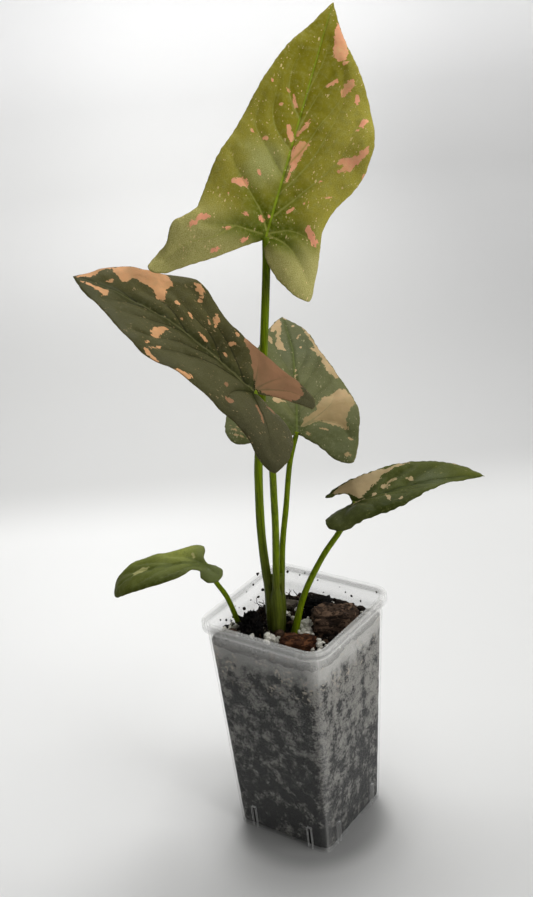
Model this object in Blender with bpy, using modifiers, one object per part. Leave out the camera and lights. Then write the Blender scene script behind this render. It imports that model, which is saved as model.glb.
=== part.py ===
"""Arrowhead plant with five variegated leaves in a small square nursery pot.

Metres, +Z up. The origin is the middle of the pot's flat underside, and the pot's sides face along X and Y.
Sizes below are in millimetres and are turned into metres where a mesh is made.
"""

import math

import bmesh
import bpy
import numpy as np
from mathutils import Matrix, Vector, noise

MM = 0.001
GAP = 0.3
CURVE_STEPS = 12

# Pot, outer sizes.
POT_HEIGHT = 118.8
POT_HALF_TOP = 32.9
POT_HALF_BOTTOM = 26.9
POT_CORNER_TOP = 7.5
POT_CORNER_BOTTOM = 6.0
POT_WALL = 1.0
POT_FLOOR = 2.0
RIM_WIDTH = 2.1
RIM_LIP = 1.0
RIM_DROP = 4.2
RIM_SHELF = 1.2
SLOT_WIDTH = 2.0
SLOT_TOP = 13.0
SLOT_INSET = 10.5
SLOT_DEPTH = 8.0
ARCH_HALF_LENGTH = 13.0
ARCH_HEIGHT = 1.4
ARCH_DEPTH = 10.0
ARCH_SIDES = 96
CORNER_STEPS = 4
SIDE_STEPS = 4

# Potting mix.
MIX_LEVEL = 107.0
MIX_LUMP = 1.6
MIX_LUMP_SIZE = 9.0
MIX_RINGS = (0.15, 0.3, 0.45, 0.6, 0.74, 0.87, 1.0)
HOLE_DEPTH = 16.0
HOLE_SIDES = 12

# Short stem that the three tall petioles grow from: points up its middle and its radius at each.
CROWN = ((-7.2, -6.8, 94.0), (-7.2, -6.8, 107.0), (-6.6, -6.4, 117.0), (-6.2, -6.1, 126.3))
CROWN_RADII = (3.2, 3.7, 4.2, 4.7)

# Blades.
BLADE_THICKNESS = 0.8
BLADE_HUB = 0.075
BLADE_RINGS = (0.22, 0.47, 0.7, 0.87, 1.0)
BLADE_STEPS = 18
FOLD_SOFTNESS = 3.0
MIDRIB_REACH = (-70, 150)
WAVE_HEIGHT = 0.9
WAVE_LENGTH = 34.0

# joint is where a blade meets its petiole. heading, rise and roll turn its midrib, in degrees. bend and fold
# hold degrees at distances along the midrib. A roll turns one side's margin down: the side, where across
# the blade it starts, its radius, and the distances along the midrib where it is full and where it ends.
# left and right are the flat outline from the tip to the notch, as (along, across).
LEAVES = {
    "leaf_blade_1": {
        "joint": (-1.1, 2.9, 296.1), "heading": 86, "rise": 57, "roll": -35, "wave": 0.4,
        "bend": ((-45, -14), (0, 0), (60, 3), (110, 8)),
        "fold": ((-40, 4), (0, 8), (60, 8), (110, 14)),
        "rolls": ((-1, 12.0, 14.0, 2.0, 30.0),),
        "left": (
            (109, 0), (98, 6), (88, 12), (79, 16), (61, 21), (42, 25), (26, 29.5), (13, 31), (-1, 32.5),
            (-9, 36.5), (-17, 41.5), (-26, 45.5), (-28, 41), (-20, 28), (-14, 18), (-7, 9), (-2, 2), (-1, 0),
        ),
        "right": (
            (109, 0), (98, -6), (90, -11), (80, -18), (68, -25), (53, -33), (42, -34.5), (31, -32.5),
            (21, -27), (12, -23.5), (3, -25), (-8, -30), (-17, -32), (-22, -28), (-19, -19), (-8, -5),
            (-1, 0),
        ),
    },
    "leaf_blade_2": {
        "joint": (4.8, -23.7, 236.5), "heading": -157, "rise": 41, "roll": 19, "wave": 1.2,
        "bend": ((-40, -6), (0, 0), (50, 5), (80, 16), (100, 26)),
        "fold": ((-40, 6), (0, 18), (60, 14), (100, 8)),
        "rolls": ((1, 14.0, 22.0, -5.0, 25.0),),
        "left": (
            (91, 0), (83, 7), (73, 13), (63, 20), (54, 25.5), (46, 28), (35, 29), (23, 28), (14, 26.5),
            (4, 27.5), (-8, 30), (-19, 32), (-26, 31), (-28, 25), (-27, 16), (-24, 7), (-14, 2), (-5, 0.5),
            (-1, 0),
        ),
        "right": (
            (91, 0), (85, -9), (78, -16), (68, -22), (57, -27), (46, -30), (35, -26.5), (24, -22.5),
            (14, -19.5), (4, -18.5), (-8, -19), (-18, -18.5), (-26, -16.5), (-26, -13), (-18, -9.5),
            (-9, -5), (-1, 0),
        ),
    },
    "leaf_blade_3": {
        "joint": (-5.2, 20.9, 200.1), "heading": 126, "rise": 24, "roll": -5, "wave": 2.2,
        "bend": ((-40, -6), (0, 0), (50, 4), (90, 10)),
        "fold": ((-40, 8), (0, 12), (90, 8)),
        "rolls": (),
        "left": (
            (92, 0), (85, 5), (76, 9), (62, 14), (46, 20), (30, 26), (16, 31), (4, 34), (-5, 34.5),
            (-11, 32), (-12, 27), (-9, 19), (-5, 9), (-1, 0),
        ),
        "right": (
            (92, 0), (85, -6), (77, -10.5), (66, -14.5), (53, -18), (38, -22), (26, -26.5), (16, -29),
            (6, -30), (-5, -29), (-15, -27), (-22, -25), (-24.5, -21), (-20, -16), (-11, -9), (-1, 0),
        ),
    },
    "leaf_blade_4": {
        "joint": (24.6, 20.3, 169.9), "heading": 43, "rise": 12, "roll": -10, "wave": 0.9,
        "bend": ((-30, -8), (0, 0), (40, 10), (70, 32)),
        "fold": ((-20, 14), (0, 26), (40, 22), (65, 6)),
        "rolls": ((-1, 6.0, 16.0, 40.0, 70.0),),
        "left": (
            (64, 0), (57, 7), (47, 11), (34, 13), (20, 14), (8, 13.5), (-2, 11.5), (-9, 9), (-9.5, 7),
            (-5, 4), (-1, 0),
        ),
        "right": (
            (64, 0), (56, -2), (47, -4), (36, -8.5), (27, -13.5), (18, -19), (9, -20.5), (1, -20),
            (-4, -19.5), (-9, -19), (-14, -16), (-15.5, -10), (-13, -3.5), (-7, -1), (-1, 0),
        ),
    },
    "leaf_blade_5": {
        "joint": (-31.4, -25.2, 146.7), "heading": -142, "rise": 3, "roll": 9, "wave": 3.0,
        "bend": ((-20, 0), (0, 0), (20, 10), (35, 30), (50, 75)),
        "fold": ((-20, 6), (0, 10), (25, 4), (50, -6)),
        "rolls": ((1, 6.0, 16.0, 60.0, 90.0),),
        "left": (
            (48, 0), (43, 5), (36, 8.5), (26, 11), (16, 12.5), (9, 11), (3, 9.5), (-1, 13), (-6, 14.5),
            (-9, 11), (-8, 5), (-4, 1.5), (-1, 0),
        ),
        "right": (
            (48, 0), (45, -6), (39, -10.5), (30, -12), (19, -12), (8, -12.5), (-1, -12.5), (-3, -9),
            (-1.5, -4), (-1, 0),
        ),
    },
}

# Petioles: points from the foot up, and the radius at the foot, partway and at the blade. Each ends at its blade.
PETIOLE_STEPS = 16
PETIOLES = {
    "petiole_1": {
        "blade": "leaf_blade_1",
        "path": (
            (-8.7, -6.9, 126.7), (-9.7, -7.4, 139.4), (-10.3, -7.5, 160.3), (-9.8, -6.5, 185.5),
            (-8.8, -5.5, 200.1), (-6.2, -2.8, 228.4), (-3.9, -0.2, 255.6), (-1.8, 2.2, 283.0),
        ),
        "radii": (1.95, 1.65, 1.5),
    },
    "petiole_2": {
        "blade": "leaf_blade_2",
        "path": (
            (-4.8, -7.8, 126.7), (-3.2, -8.2, 141.2), (-0.4, -9.8, 162.4), (2.2, -12.3, 183.1),
            (4.4, -14.8, 199.6), (5.6, -18.6, 216.9),
        ),
        "radii": (1.6, 1.4, 1.3),
    },
    "petiole_3": {
        "blade": "leaf_blade_3",
        "path": (
            (-4.4, -3.8, 126.7), (-4.9, 1.1, 149.6), (-5.2, 7.1, 167.3), (-6.2, 14.4, 186.2),
        ),
        "radii": (1.35, 1.15, 1.0),
    },
    "petiole_4": {
        "blade": "leaf_blade_4",
        "path": (
            (2.1, -7.0, 96.0), (2.9, -5.9, 107.0), (6.4, -1.1, 126.1), (12.9, 6.8, 144.0), (19.7, 14.5, 157.0),
        ),
        "radii": (2.2, 1.3, 1.1),
    },
    "petiole_5": {
        "blade": "leaf_blade_5",
        "path": (
            (-25.8, -9.4, 96.0), (-26.3, -11.0, 107.0), (-27.8, -15.8, 124.1), (-29.9, -20.5, 134.6),
        ),
        "radii": (1.5, 1.15, 1.0),
    },
}

# Loose pieces lying in the mix: centre, half sizes, turn about Z in degrees and a seed for the shape.
LUMP_DETAIL = 2
LUMP_ROUGHNESS = 0.16
LUMP_GRAIN = 1.9
LUMP_BOXINESS = 0.45
LUMP_FILL = 0.88
PIECES = {
    "bark_right": ((17.6, 7.0, 112.6), (12.0, 6.6, 6.5), 34, 1),
    "bark_front": ((10.8, -15.8, 109.5), (9.0, 6.0, 4.0), 22, 2),
    "bark_back": ((2.8, 16.2, 110.5), (7.5, 5.0, 4.5), 40, 3),
    "bark_left": ((-15.2, -15.8, 112.0), (5.5, 4.5, 7.5), 60, 4),
    "bark_flake": ((-14.0, 15.5, 107.9), (4.5, 3.2, 1.8), 10, 5),
    "perlite_1": ((6.2, 0.0, 109.5), (2.0, 1.9, 2.8), 0, 6),
    "perlite_2": ((-3.1, -16.8, 108.3), (2.4, 2.0, 1.9), 30, 7),
    "perlite_3": ((-25.1, -20.3, 108.3), (2.2, 1.9, 1.8), 70, 8),
}


def clear_scene():
    for obj in list(bpy.data.objects):
        bpy.data.objects.remove(obj, do_unlink=True)


def new_collection(name, helper=False):
    group = bpy.data.collections.new(name)
    bpy.context.scene.collection.children.link(group)
    group.hide_render = helper
    return group


def material(name, colour, roughness):
    made = bpy.data.materials.new(name)
    made.use_nodes = True
    shader = made.node_tree.nodes["Principled BSDF"]
    shader.inputs["Base Color"].default_value = (*colour, 1.0)
    shader.inputs["Roughness"].default_value = roughness
    return made


def object_from(name, mesh, group, finish=None):
    made = bpy.data.objects.new(name, mesh)
    if finish:
        mesh.materials.append(finish)
    group.objects.link(made)
    return made


def smooth(mesh, angle=40):
    mesh.shade_smooth()
    mesh.set_sharp_from_angle(angle=math.radians(angle))


def mesh_from(name, bm):
    mesh = bpy.data.meshes.new(name)
    bmesh.ops.recalc_face_normals(bm, faces=bm.faces)
    bm.to_mesh(mesh)
    bm.free()
    return mesh


def cut(target, cutters):
    """A Boolean difference of the target with a whole collection of cutters."""
    modifier = target.modifiers.new("cut", "BOOLEAN")
    modifier.operation = "DIFFERENCE"
    modifier.operand_type = "COLLECTION"
    modifier.collection = cutters
    modifier.solver = "EXACT"


def as_cutter(obj):
    obj.hide_render = True
    obj.display_type = "WIRE"


def wall_half(z):
    return POT_HALF_BOTTOM + (POT_HALF_TOP - POT_HALF_BOTTOM) * z / POT_HEIGHT


def wall_corner(z):
    return POT_CORNER_BOTTOM + (POT_CORNER_TOP - POT_CORNER_BOTTOM) * z / POT_HEIGHT


def rounded_square(half, corner):
    """Corners of a square with rounded corners, and points along its sides, anticlockwise."""
    points = []
    for quarter in range(4):
        start = quarter * math.pi / 2
        turn = complex(math.cos(start), math.sin(start))
        for step in range(CORNER_STEPS + 1):
            angle = math.pi / 2 * step / CORNER_STEPS
            arc = complex(half - corner, half - corner) + corner * complex(math.cos(angle), math.sin(angle))
            points.append(arc * turn)
        first = complex(half - corner, half) * turn
        last = complex(corner - half, half) * turn
        points += [first + (last - first) * step / SIDE_STEPS for step in range(1, SIDE_STEPS)]
    return [(point.real, point.imag) for point in points]


def add_ring(bm, outline, z):
    return [bm.verts.new((x * MM, y * MM, z * MM)) for x, y in outline]


def bridge(bm, lower, upper):
    count = len(lower)
    for i in range(count):
        j = (i + 1) % count
        bm.faces.new((lower[i], lower[j], upper[j], upper[i]))


def pot_profile():
    """Distance out from the wall's outer face, and height, round the section of the wall and rim."""
    under = POT_HEIGHT - RIM_SHELF
    lip = POT_HEIGHT - RIM_DROP
    return (
        (0.0, 0.0), (0.0, under), (RIM_WIDTH - RIM_LIP, under), (RIM_WIDTH - RIM_LIP, lip),
        (RIM_WIDTH, lip), (RIM_WIDTH, POT_HEIGHT), (-POT_WALL, POT_HEIGHT), (-POT_WALL, POT_FLOOR),
    )


def add_pot(group, cutters):
    bm = bmesh.new()
    rings = []
    for out, z in pot_profile():
        base = POT_HEIGHT if out > 0 else z
        outline = rounded_square(wall_half(base) + out, wall_corner(base) + out)
        rings.append(add_ring(bm, outline, z))
    for lower, upper in zip(rings, rings[1:]):
        bridge(bm, lower, upper)
    bm.faces.new(reversed(rings[0]))
    bm.faces.new(rings[-1])
    mesh = mesh_from("pot", bm)
    smooth(mesh)
    pot = object_from("pot", mesh, group, material("milky plastic", (0.72, 0.73, 0.72), 0.35))
    add_slots(cutters)
    add_arches(cutters)
    cut(pot, cutters)


def side_turn(side):
    """The turn that takes the front side of the pot to this one."""
    return Matrix.Rotation(side * math.pi / 2, 4, "Z")


def add_slots(cutters):
    """Two narrow drain slots at the foot of each side."""
    place = POT_HALF_BOTTOM - SLOT_INSET
    for side in range(4):
        for across in (-place, place):
            bpy.ops.mesh.primitive_cube_add(size=MM)
            slot = bpy.context.object
            slot.name = f"slot_{side}_{'left' if across < 0 else 'right'}"
            size = Matrix.Diagonal((SLOT_WIDTH, SLOT_DEPTH, 2 * SLOT_TOP, 1.0))
            spot = Matrix.Translation(Vector((across, -POT_HALF_BOTTOM, 0.0)) * MM)
            slot.matrix_world = side_turn(side) @ spot @ size
            move_to(slot, cutters)


def add_arches(cutters):
    """A shallow arch under each side, which leaves a foot at each corner."""
    radius = (ARCH_HALF_LENGTH**2 + ARCH_HEIGHT**2) / (2 * ARCH_HEIGHT)
    for side in range(4):
        bpy.ops.mesh.primitive_cylinder_add(vertices=ARCH_SIDES, radius=radius * MM, depth=ARCH_DEPTH * MM)
        arch = bpy.context.object
        arch.name = f"arch_{side}"
        spot = Matrix.Translation(Vector((0.0, -POT_HALF_BOTTOM, ARCH_HEIGHT - radius)) * MM)
        arch.matrix_world = side_turn(side) @ spot @ Matrix.Rotation(math.pi / 2, 4, "X")
        move_to(arch, cutters)


def move_to(obj, group):
    for old in list(obj.users_collection):
        old.objects.unlink(obj)
    group.objects.link(obj)
    as_cutter(obj)


def mix_height(x, y):
    coarse = noise.noise(Vector((x, y, 0.0)) / MIX_LUMP_SIZE)
    fine = noise.noise(Vector((y, x, MIX_LUMP_SIZE)) * 2 / MIX_LUMP_SIZE)
    return MIX_LEVEL + MIX_LUMP * (coarse + 0.5 * fine)


def add_mix(group, cutters):
    """The block of potting mix: tapered sides, a flat bottom and a lumpy top."""
    bm = bmesh.new()
    bottom = POT_FLOOR + GAP
    inset = POT_WALL + GAP
    foot = add_ring(bm, rounded_square(wall_half(bottom) - inset, wall_corner(bottom) - inset), bottom)
    outline = rounded_square(wall_half(MIX_LEVEL) - inset, wall_corner(MIX_LEVEL) - inset)
    rings = []
    for share in MIX_RINGS:
        ring = [(x * share, y * share) for x, y in outline]
        rings.append([bm.verts.new((x * MM, y * MM, mix_height(x, y) * MM)) for x, y in ring])
    middle = bm.verts.new((0.0, 0.0, mix_height(0.0, 0.0) * MM))
    bridge(bm, foot, rings[-1])
    for inner, outer in zip(rings, rings[1:]):
        bridge(bm, outer, inner)
    for i, vertex in enumerate(rings[0]):
        bm.faces.new((vertex, rings[0][(i + 1) % len(outline)], middle))
    bm.faces.new(reversed(foot))
    mesh = mesh_from("potting_mix", bm)
    smooth(mesh)
    mix = object_from("potting_mix", mesh, group, material("potting mix", (0.05, 0.035, 0.025), 0.95))
    for name, point, lower, radius in stem_holes():
        add_hole(name, point, lower, radius, cutters)
    cut(mix, cutters)


def stem_holes():
    """Name, point at the surface, point below it and radius of each stem that stands in the mix."""
    yield "hole_crown", CROWN[1], CROWN[0], CROWN_RADII[1]
    for name in ("petiole_4", "petiole_5"):
        path, radii = PETIOLES[name]["path"], PETIOLES[name]["radii"]
        yield f"hole_{name}", path[1], path[0], radii[0]


def add_hole(name, point, lower, radius, cutters):
    """A plain slanted hole with room for the stem and an open top."""
    axis = Vector(point) - Vector(lower)
    length = axis.length + 2 * HOLE_DEPTH
    bpy.ops.mesh.primitive_cylinder_add(
        vertices=HOLE_SIDES, radius=(radius + 2 * GAP) * MM, depth=length * MM
    )
    hole = bpy.context.object
    hole.name = name
    hole.rotation_mode = "QUATERNION"
    hole.rotation_quaternion = axis.to_track_quat("Z", "Y")
    hole.location = (Vector(lower) + axis.normalized() * (length / 2 - GAP)) * MM
    move_to(hole, cutters)


def lump_mesh(name, half, seed, grow=0.0):
    """A broken, slightly boxy lump."""
    bm = bmesh.new()
    bmesh.ops.create_icosphere(bm, subdivisions=LUMP_DETAIL, radius=1.0)
    for vertex in bm.verts:
        direction = vertex.co.normalized()
        box = 1 / max(abs(value) for value in direction) ** LUMP_BOXINESS
        rough = 1 + LUMP_ROUGHNESS * noise.noise(direction * LUMP_GRAIN + Vector((seed, 2 * seed, 3 * seed)))
        reach = box * rough * LUMP_FILL * MM
        vertex.co = [value * reach * (size + grow) for value, size in zip(direction, half)]
    return mesh_from(name, bm)


def add_pieces(group, cutters):
    """Bark and perlite, each lying in its own shallow seat in the mix."""
    bark = material("bark", (0.16, 0.09, 0.06), 0.9)
    grain = material("perlite", (0.85, 0.84, 0.8), 0.9)
    for name, (centre, half, turn, seed) in PIECES.items():
        finish = grain if name.startswith("perlite") else bark
        piece = object_from(name, lump_mesh(name, half, seed), group, finish)
        seat = object_from(f"seat_{name}", lump_mesh(f"seat_{name}", half, seed, grow=2 * GAP), cutters)
        as_cutter(seat)
        for obj in (piece, seat):
            obj.location = Vector(centre) * MM
            obj.rotation_euler.z = math.radians(turn)
        smooth(piece.data, 50)


def curve_through(points, count):
    """Evenly spaced points along a smooth curve through the given ones."""
    points = np.array(points, float)
    padded = np.vstack([2 * points[0] - points[1], points, 2 * points[-1] - points[-2]])
    fine = [points[0]]
    for a, b, c, d in zip(padded, padded[1:], padded[2:], padded[3:]):
        for t in np.linspace(0, 1, CURVE_STEPS + 1)[1:]:
            cubic = 3 * b - a - 3 * c + d
            square = 2 * a - 5 * b + 4 * c - d
            fine.append((2 * b + (c - a) * t + square * t**2 + cubic * t**3) / 2)
    fine = np.array(fine)
    length = np.concatenate([[0.0], np.cumsum(np.linalg.norm(np.diff(fine, axis=0), axis=1))])
    even = np.linspace(0, length[-1], count + 1)
    return np.stack([np.interp(even, length, column) for column in fine.T], -1)


def add_tube(name, points, radii, finish, group):
    """A tapered round stem with closed ends."""
    curve = bpy.data.curves.new(name, "CURVE")
    curve.dimensions = "3D"
    curve.bevel_depth = MM
    curve.bevel_resolution = 2
    curve.use_fill_caps = True
    spline = curve.splines.new("POLY")
    spline.points.add(len(points) - 1)
    for spot, place, radius in zip(spline.points, points, radii):
        spot.co = (*(np.array(place) * MM), 1.0)
        spot.radius = radius
    curve.materials.append(finish)
    group.objects.link(bpy.data.objects.new(name, curve))


def add_crown(group):
    points = curve_through(CROWN, 8)
    radii = np.interp(np.linspace(0, 1, 9), np.linspace(0, 1, len(CROWN_RADII)), CROWN_RADII)
    add_tube("crown", points, radii, material("stem base", (0.33, 0.4, 0.12), 0.55), group)


def petiole_points(petiole):
    """Middle line and radii. The end lies just under the blade, clear of it by the gap."""
    leaf = LEAVES[petiole["blade"]]
    face = leaf_axes(leaf)[2]
    joint = np.array(leaf["joint"])
    radius = petiole["radii"][-1]
    toward = joint - np.array(petiole["path"][-1])
    slant = float(toward @ face) / float(np.linalg.norm(toward))
    under = BLADE_THICKNESS / 2 + GAP + radius * math.sqrt(max(0.0, 1 - slant**2))
    points = curve_through([*petiole["path"], tuple(joint - face * under)], PETIOLE_STEPS)
    share = np.linspace(0, 1, PETIOLE_STEPS + 1)
    return points, np.interp(share, (0.0, 0.3, 1.0), petiole["radii"])


def add_petioles(group):
    green = material("petiole", (0.25, 0.4, 0.06), 0.45)
    for name, petiole in PETIOLES.items():
        points, radii = petiole_points(petiole)
        add_tube(name, points, radii, green, group)


def along(pairs, x):
    """The value at x of a quantity given as (distance, value) pairs."""
    distances, values = zip(*pairs)
    return np.interp(x, distances, values)


def midrib(leaf, x):
    """Reach, height and slope of the midrib at distances x, bent in its own upright plane."""
    s = np.arange(MIDRIB_REACH[0], MIDRIB_REACH[1] + 1.0)
    slope = np.radians(along(leaf["bend"], s))
    middle = (slope[1:] + slope[:-1]) / 2
    reach = np.concatenate([[0.0], np.cumsum(np.cos(middle))])
    drop = np.concatenate([[0.0], np.cumsum(np.sin(middle))])
    start = -MIDRIB_REACH[0]
    return np.interp(x, s, reach - reach[start]), -np.interp(x, s, drop - drop[start]), np.interp(x, s, slope)


def rolled(distance, radius, weight):
    """How far a strip of this length reaches and drops where it rolls down over a round edge."""
    turn = np.maximum(weight * distance / radius, 1e-6)
    return distance * np.sin(turn) / turn, distance * (1 - np.cos(turn)) / turn


def bent(leaf, x, y):
    """Flat blade points, x to the tip and y to the left, after folding, rolling and bending."""
    fold = np.radians(along(leaf["fold"], x))
    width = np.abs(y)
    drop = np.zeros_like(width)
    for side, start, radius, full, none in leaf["rolls"]:
        weight = np.clip((none - x) / (none - full), 0, 1) * (np.sign(y) == side)
        reach, fall = rolled(np.maximum(width - start, 0), radius, weight)
        width = np.minimum(width, start) + reach
        drop = drop + fall
    across = np.sign(y) * width * np.cos(fold)
    up = (np.sqrt(width**2 + FOLD_SOFTNESS**2) - FOLD_SOFTNESS) * np.sin(fold) - drop
    phase = 2 * np.pi * x / WAVE_LENGTH + leaf["wave"] + 1.7 * np.sign(y)
    up = up + WAVE_HEIGHT * (y / 25) ** 2 * np.sin(phase)
    reach, height, slope = midrib(leaf, x)
    return np.stack([reach + up * np.sin(slope), across, height + up * np.cos(slope)], -1)


def leaf_axes(leaf):
    """Unit vectors along the midrib, to its left and out of the upper face."""
    heading, rise, roll = np.radians([leaf["heading"], leaf["rise"], leaf["roll"]])
    ahead = np.array([np.cos(rise) * np.cos(heading), np.cos(rise) * np.sin(heading), np.sin(rise)])
    side = np.array([-np.sin(heading), np.cos(heading), 0.0])
    face = np.cos(roll) * np.cross(ahead, side) + np.sin(roll) * side
    return np.array([ahead, np.cross(face, ahead), face])


def blade_outline(leaf):
    """The closed flat outline, from the tip round the left side to the notch and back up the right side."""
    left = curve_through(leaf["left"], BLADE_STEPS)
    right = curve_through(leaf["right"], BLADE_STEPS)
    return np.vstack([left[:-1], right[:0:-1]])


def add_blade(name, leaf, finish, group):
    """A thin blade: rings of points from a hub near the notch to the outline, split in triangles, then thickened."""
    outline = blade_outline(leaf)
    hub = np.array([leaf["left"][0][0] * BLADE_HUB, 0.0])
    flat = np.vstack([hub] + [hub + share * (outline - hub) for share in BLADE_RINGS])
    places = (np.array(leaf["joint"]) + bent(leaf, flat[:, 0], flat[:, 1]) @ leaf_axes(leaf)) * MM
    bm = bmesh.new()
    vertices = [bm.verts.new(place) for place in places]
    count = len(outline)
    rings = [vertices[1 + i * count : 1 + (i + 1) * count] for i in range(len(BLADE_RINGS))]
    for i in range(count):
        j = (i + 1) % count
        bm.faces.new((vertices[0], rings[0][i], rings[0][j]))
        for inner, outer in zip(rings, rings[1:]):
            bm.faces.new((inner[i], outer[i], outer[j]))
            bm.faces.new((inner[i], outer[j], inner[j]))
    mesh = bpy.data.meshes.new(name)
    bm.to_mesh(mesh)
    bm.free()
    mesh.shade_smooth()
    blade = object_from(name, mesh, group, finish)
    solidify = blade.modifiers.new("thickness", "SOLIDIFY")
    solidify.thickness = BLADE_THICKNESS * MM
    solidify.offset = 0.0


def add_blades(group):
    for name, leaf in LEAVES.items():
        young = name == "leaf_blade_1"
        colour = (0.22, 0.25, 0.05) if young else (0.07, 0.1, 0.045)
        add_blade(name, leaf, material(name, colour, 0.45), group)


def main():
    clear_scene()
    plant = new_collection("arrowhead plant")
    pot_cutters = new_collection("pot cutters", helper=True)
    mix_cutters = new_collection("mix cutters", helper=True)
    add_pot(plant, pot_cutters)
    add_pieces(plant, mix_cutters)
    add_mix(plant, mix_cutters)
    add_crown(plant)
    add_petioles(plant)
    add_blades(plant)


main()
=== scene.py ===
"""Arrowhead plant with variegated leaves in a translucent square nursery pot.

Sizes are in millimetres, in the frame of the solids, and are turned into metres where a mesh is made. The
places of the camera and the lights are in metres.
"""

import math

import bmesh
import bpy
import numpy as np
from mathutils import Matrix, Vector, geometry, noise


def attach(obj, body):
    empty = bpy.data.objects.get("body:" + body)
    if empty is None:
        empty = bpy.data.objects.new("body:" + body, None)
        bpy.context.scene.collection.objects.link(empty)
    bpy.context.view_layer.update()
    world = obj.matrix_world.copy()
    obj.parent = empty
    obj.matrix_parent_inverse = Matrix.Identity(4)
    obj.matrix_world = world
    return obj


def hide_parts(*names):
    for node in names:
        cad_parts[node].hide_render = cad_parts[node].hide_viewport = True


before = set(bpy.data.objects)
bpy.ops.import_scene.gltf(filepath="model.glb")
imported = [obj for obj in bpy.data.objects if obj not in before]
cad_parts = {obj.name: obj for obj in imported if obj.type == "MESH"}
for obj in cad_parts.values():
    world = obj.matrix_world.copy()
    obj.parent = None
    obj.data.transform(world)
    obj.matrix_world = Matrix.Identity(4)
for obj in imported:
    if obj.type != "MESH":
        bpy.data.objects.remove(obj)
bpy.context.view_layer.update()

MM = 0.001

# Camera: where the photograph was taken from in metres, how it is turned in degrees, and its focal length
# in the photograph's pixels.
CAMERA_PLACE = (0.28892, -0.41073, 0.40585)
CAMERA_AZIMUTH = 35.91
CAMERA_ELEVATION = 22.215
CAMERA_ROLL = 5.04
FOCAL_PIXELS = 1200
FRAME_PIXELS = 897
SENSOR = 36.0
# Sine and cosine of the azimuth, for the shades of the backdrop.
VIEW_SINE = 0.5865
VIEW_COSINE = 0.81

# The sweep of pale paper: distance out and height of its section.
SWEEP_SECTION = ((0, 0), (1400, 0), (1700, 40), (1900, 160), (2000, 400), (2040, 1400))
SWEEP_SIDES = 96

# Pot, outer sizes.
POT_HEIGHT = 118.8
POT_HALF_TOP = 32.9
POT_HALF_BOTTOM = 26.9
POT_CORNER_TOP = 8.2
POT_CORNER_BOTTOM = 5.5
POT_WALL = 1.0
POT_FLOOR = 2.0
RIM_WIDTH = 2.1
RIM_LIP = 1.0
RIM_DROP = 4.2
RIM_SHELF = 1.2
SLOT_WIDTH = 2.0
SLOT_TOP = 13.0
SLOT_INSET = 10.5
SLOT_PLACE = POT_HALF_BOTTOM - SLOT_INSET
SLOT_DEPTH = 8.0
ARCH_HALF_LENGTH = 13.0
ARCH_HEIGHT = 1.4
ARCH_DEPTH = 10.0
ARCH_SIDES = 160
CORNER_STEPS = 12
SIDE_STEPS = 22

# Potting mix.
MIX_LEVEL = 107.0
MIX_DIP = 4.5
MIX_EDGE_DROP = 0.4
MIX_DENT = 0.5
MIX_INSET = POT_WALL + 0.1
MIX_BOTTOM = POT_FLOOR + 0.3
MIX_CORNER_STEPS = 10
MIX_SIDE_STEPS = 26
MIX_RINGS = 64
MIX_SIDE_RINGS = 44

# Litter on the mix: where it may lie, how many there are of each, and how the threads run.
LITTER_SQUARE = 22
LITTER_CORNER = 8
STEM_FOOT = (-7, -6.5)
STEM_CLEARANCE = 4.6
CRUMBS = 330
CHIPS = 34
GRAINS = 170
THREADS = 260
THREAD_STEP = 0.7
THREAD_SIDES = 5
THREAD_TURN = 0.75
THREAD_TILT = 0.45
THREAD_TILT_RANGE = (-1.0, 0.9)
THREAD_GAP = 0.6

# Stems and the crown.
STEM_RINGS = 90
STEM_SIDES = 28
CROWN_RINGS = 84
CROWN_SIDES = 96
CROWN_FOOT = 94.0
CROWN_TOP = 137.0
CROWN_HEIGHTS = (94.0, 107.0, 117.0, 126.3, 137.0)
CROWN_CENTRE = ((-7.2, -7.2, -6.6, -6.2, -6.3), (-6.8, -6.8, -6.4, -6.1, -5.6))
# Each sheath: heights, x and y of its middle, and radius.
SHEATHS = (
    (
        (94, 107, 118, 127, 137), (-8.2, -8.2, -8.6, -8.8, -9.5), (-7.2, -7.2, -7.2, -7.0, -7.3),
        (2.9, 3.0, 2.8, 2.5, 1.9),
    ),
    (
        (94, 107, 118, 127, 133), (-6.0, -6.0, -5.4, -4.8, -4.2), (-7.4, -7.4, -7.6, -7.8, -8.0),
        (3.2, 3.3, 2.9, 2.5, 1.6),
    ),
    (
        (94, 107, 118, 124, 129), (-6.0, -6.0, -5.0, -4.6, -4.6), (-5.4, -5.4, -4.4, -4.0, -3.2),
        (2.9, 2.9, 2.6, 2.1, 1.3),
    ),
)

# Blades.
GRID = 0.85
VEIN_STEP = 0.7
THICKNESS = 0.62
EDGE_THICKNESS = 0.3
OUTLINE_STEPS = 18
# Room in grid steps that a grid point keeps from the outline and from veins, and a vein point from others.
OUTLINE_ROOM = 0.55
VEIN_ROOM = 0.5
POINT_ROOM = 0.45
QUILT_HEIGHT = 0.85
QUILT_WIDTH = 2.8
# Depth and half width of the sunken midrib and side veins above, and of the raised ones below.
RIB_GROOVE = (0.42, 0.8)
VEIN_GROOVE = (0.24, 0.55)
RIB_RIDGE = (0.75, 0.9)
VEIN_RIDGE = (0.22, 0.6)
FOLD_SOFTNESS = 3.0
MIDRIB_REACH = (-70, 150)
WAVE_HEIGHT = 0.9
WAVE_LENGTH = 34.0
CURVE_STEPS = 12

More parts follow.
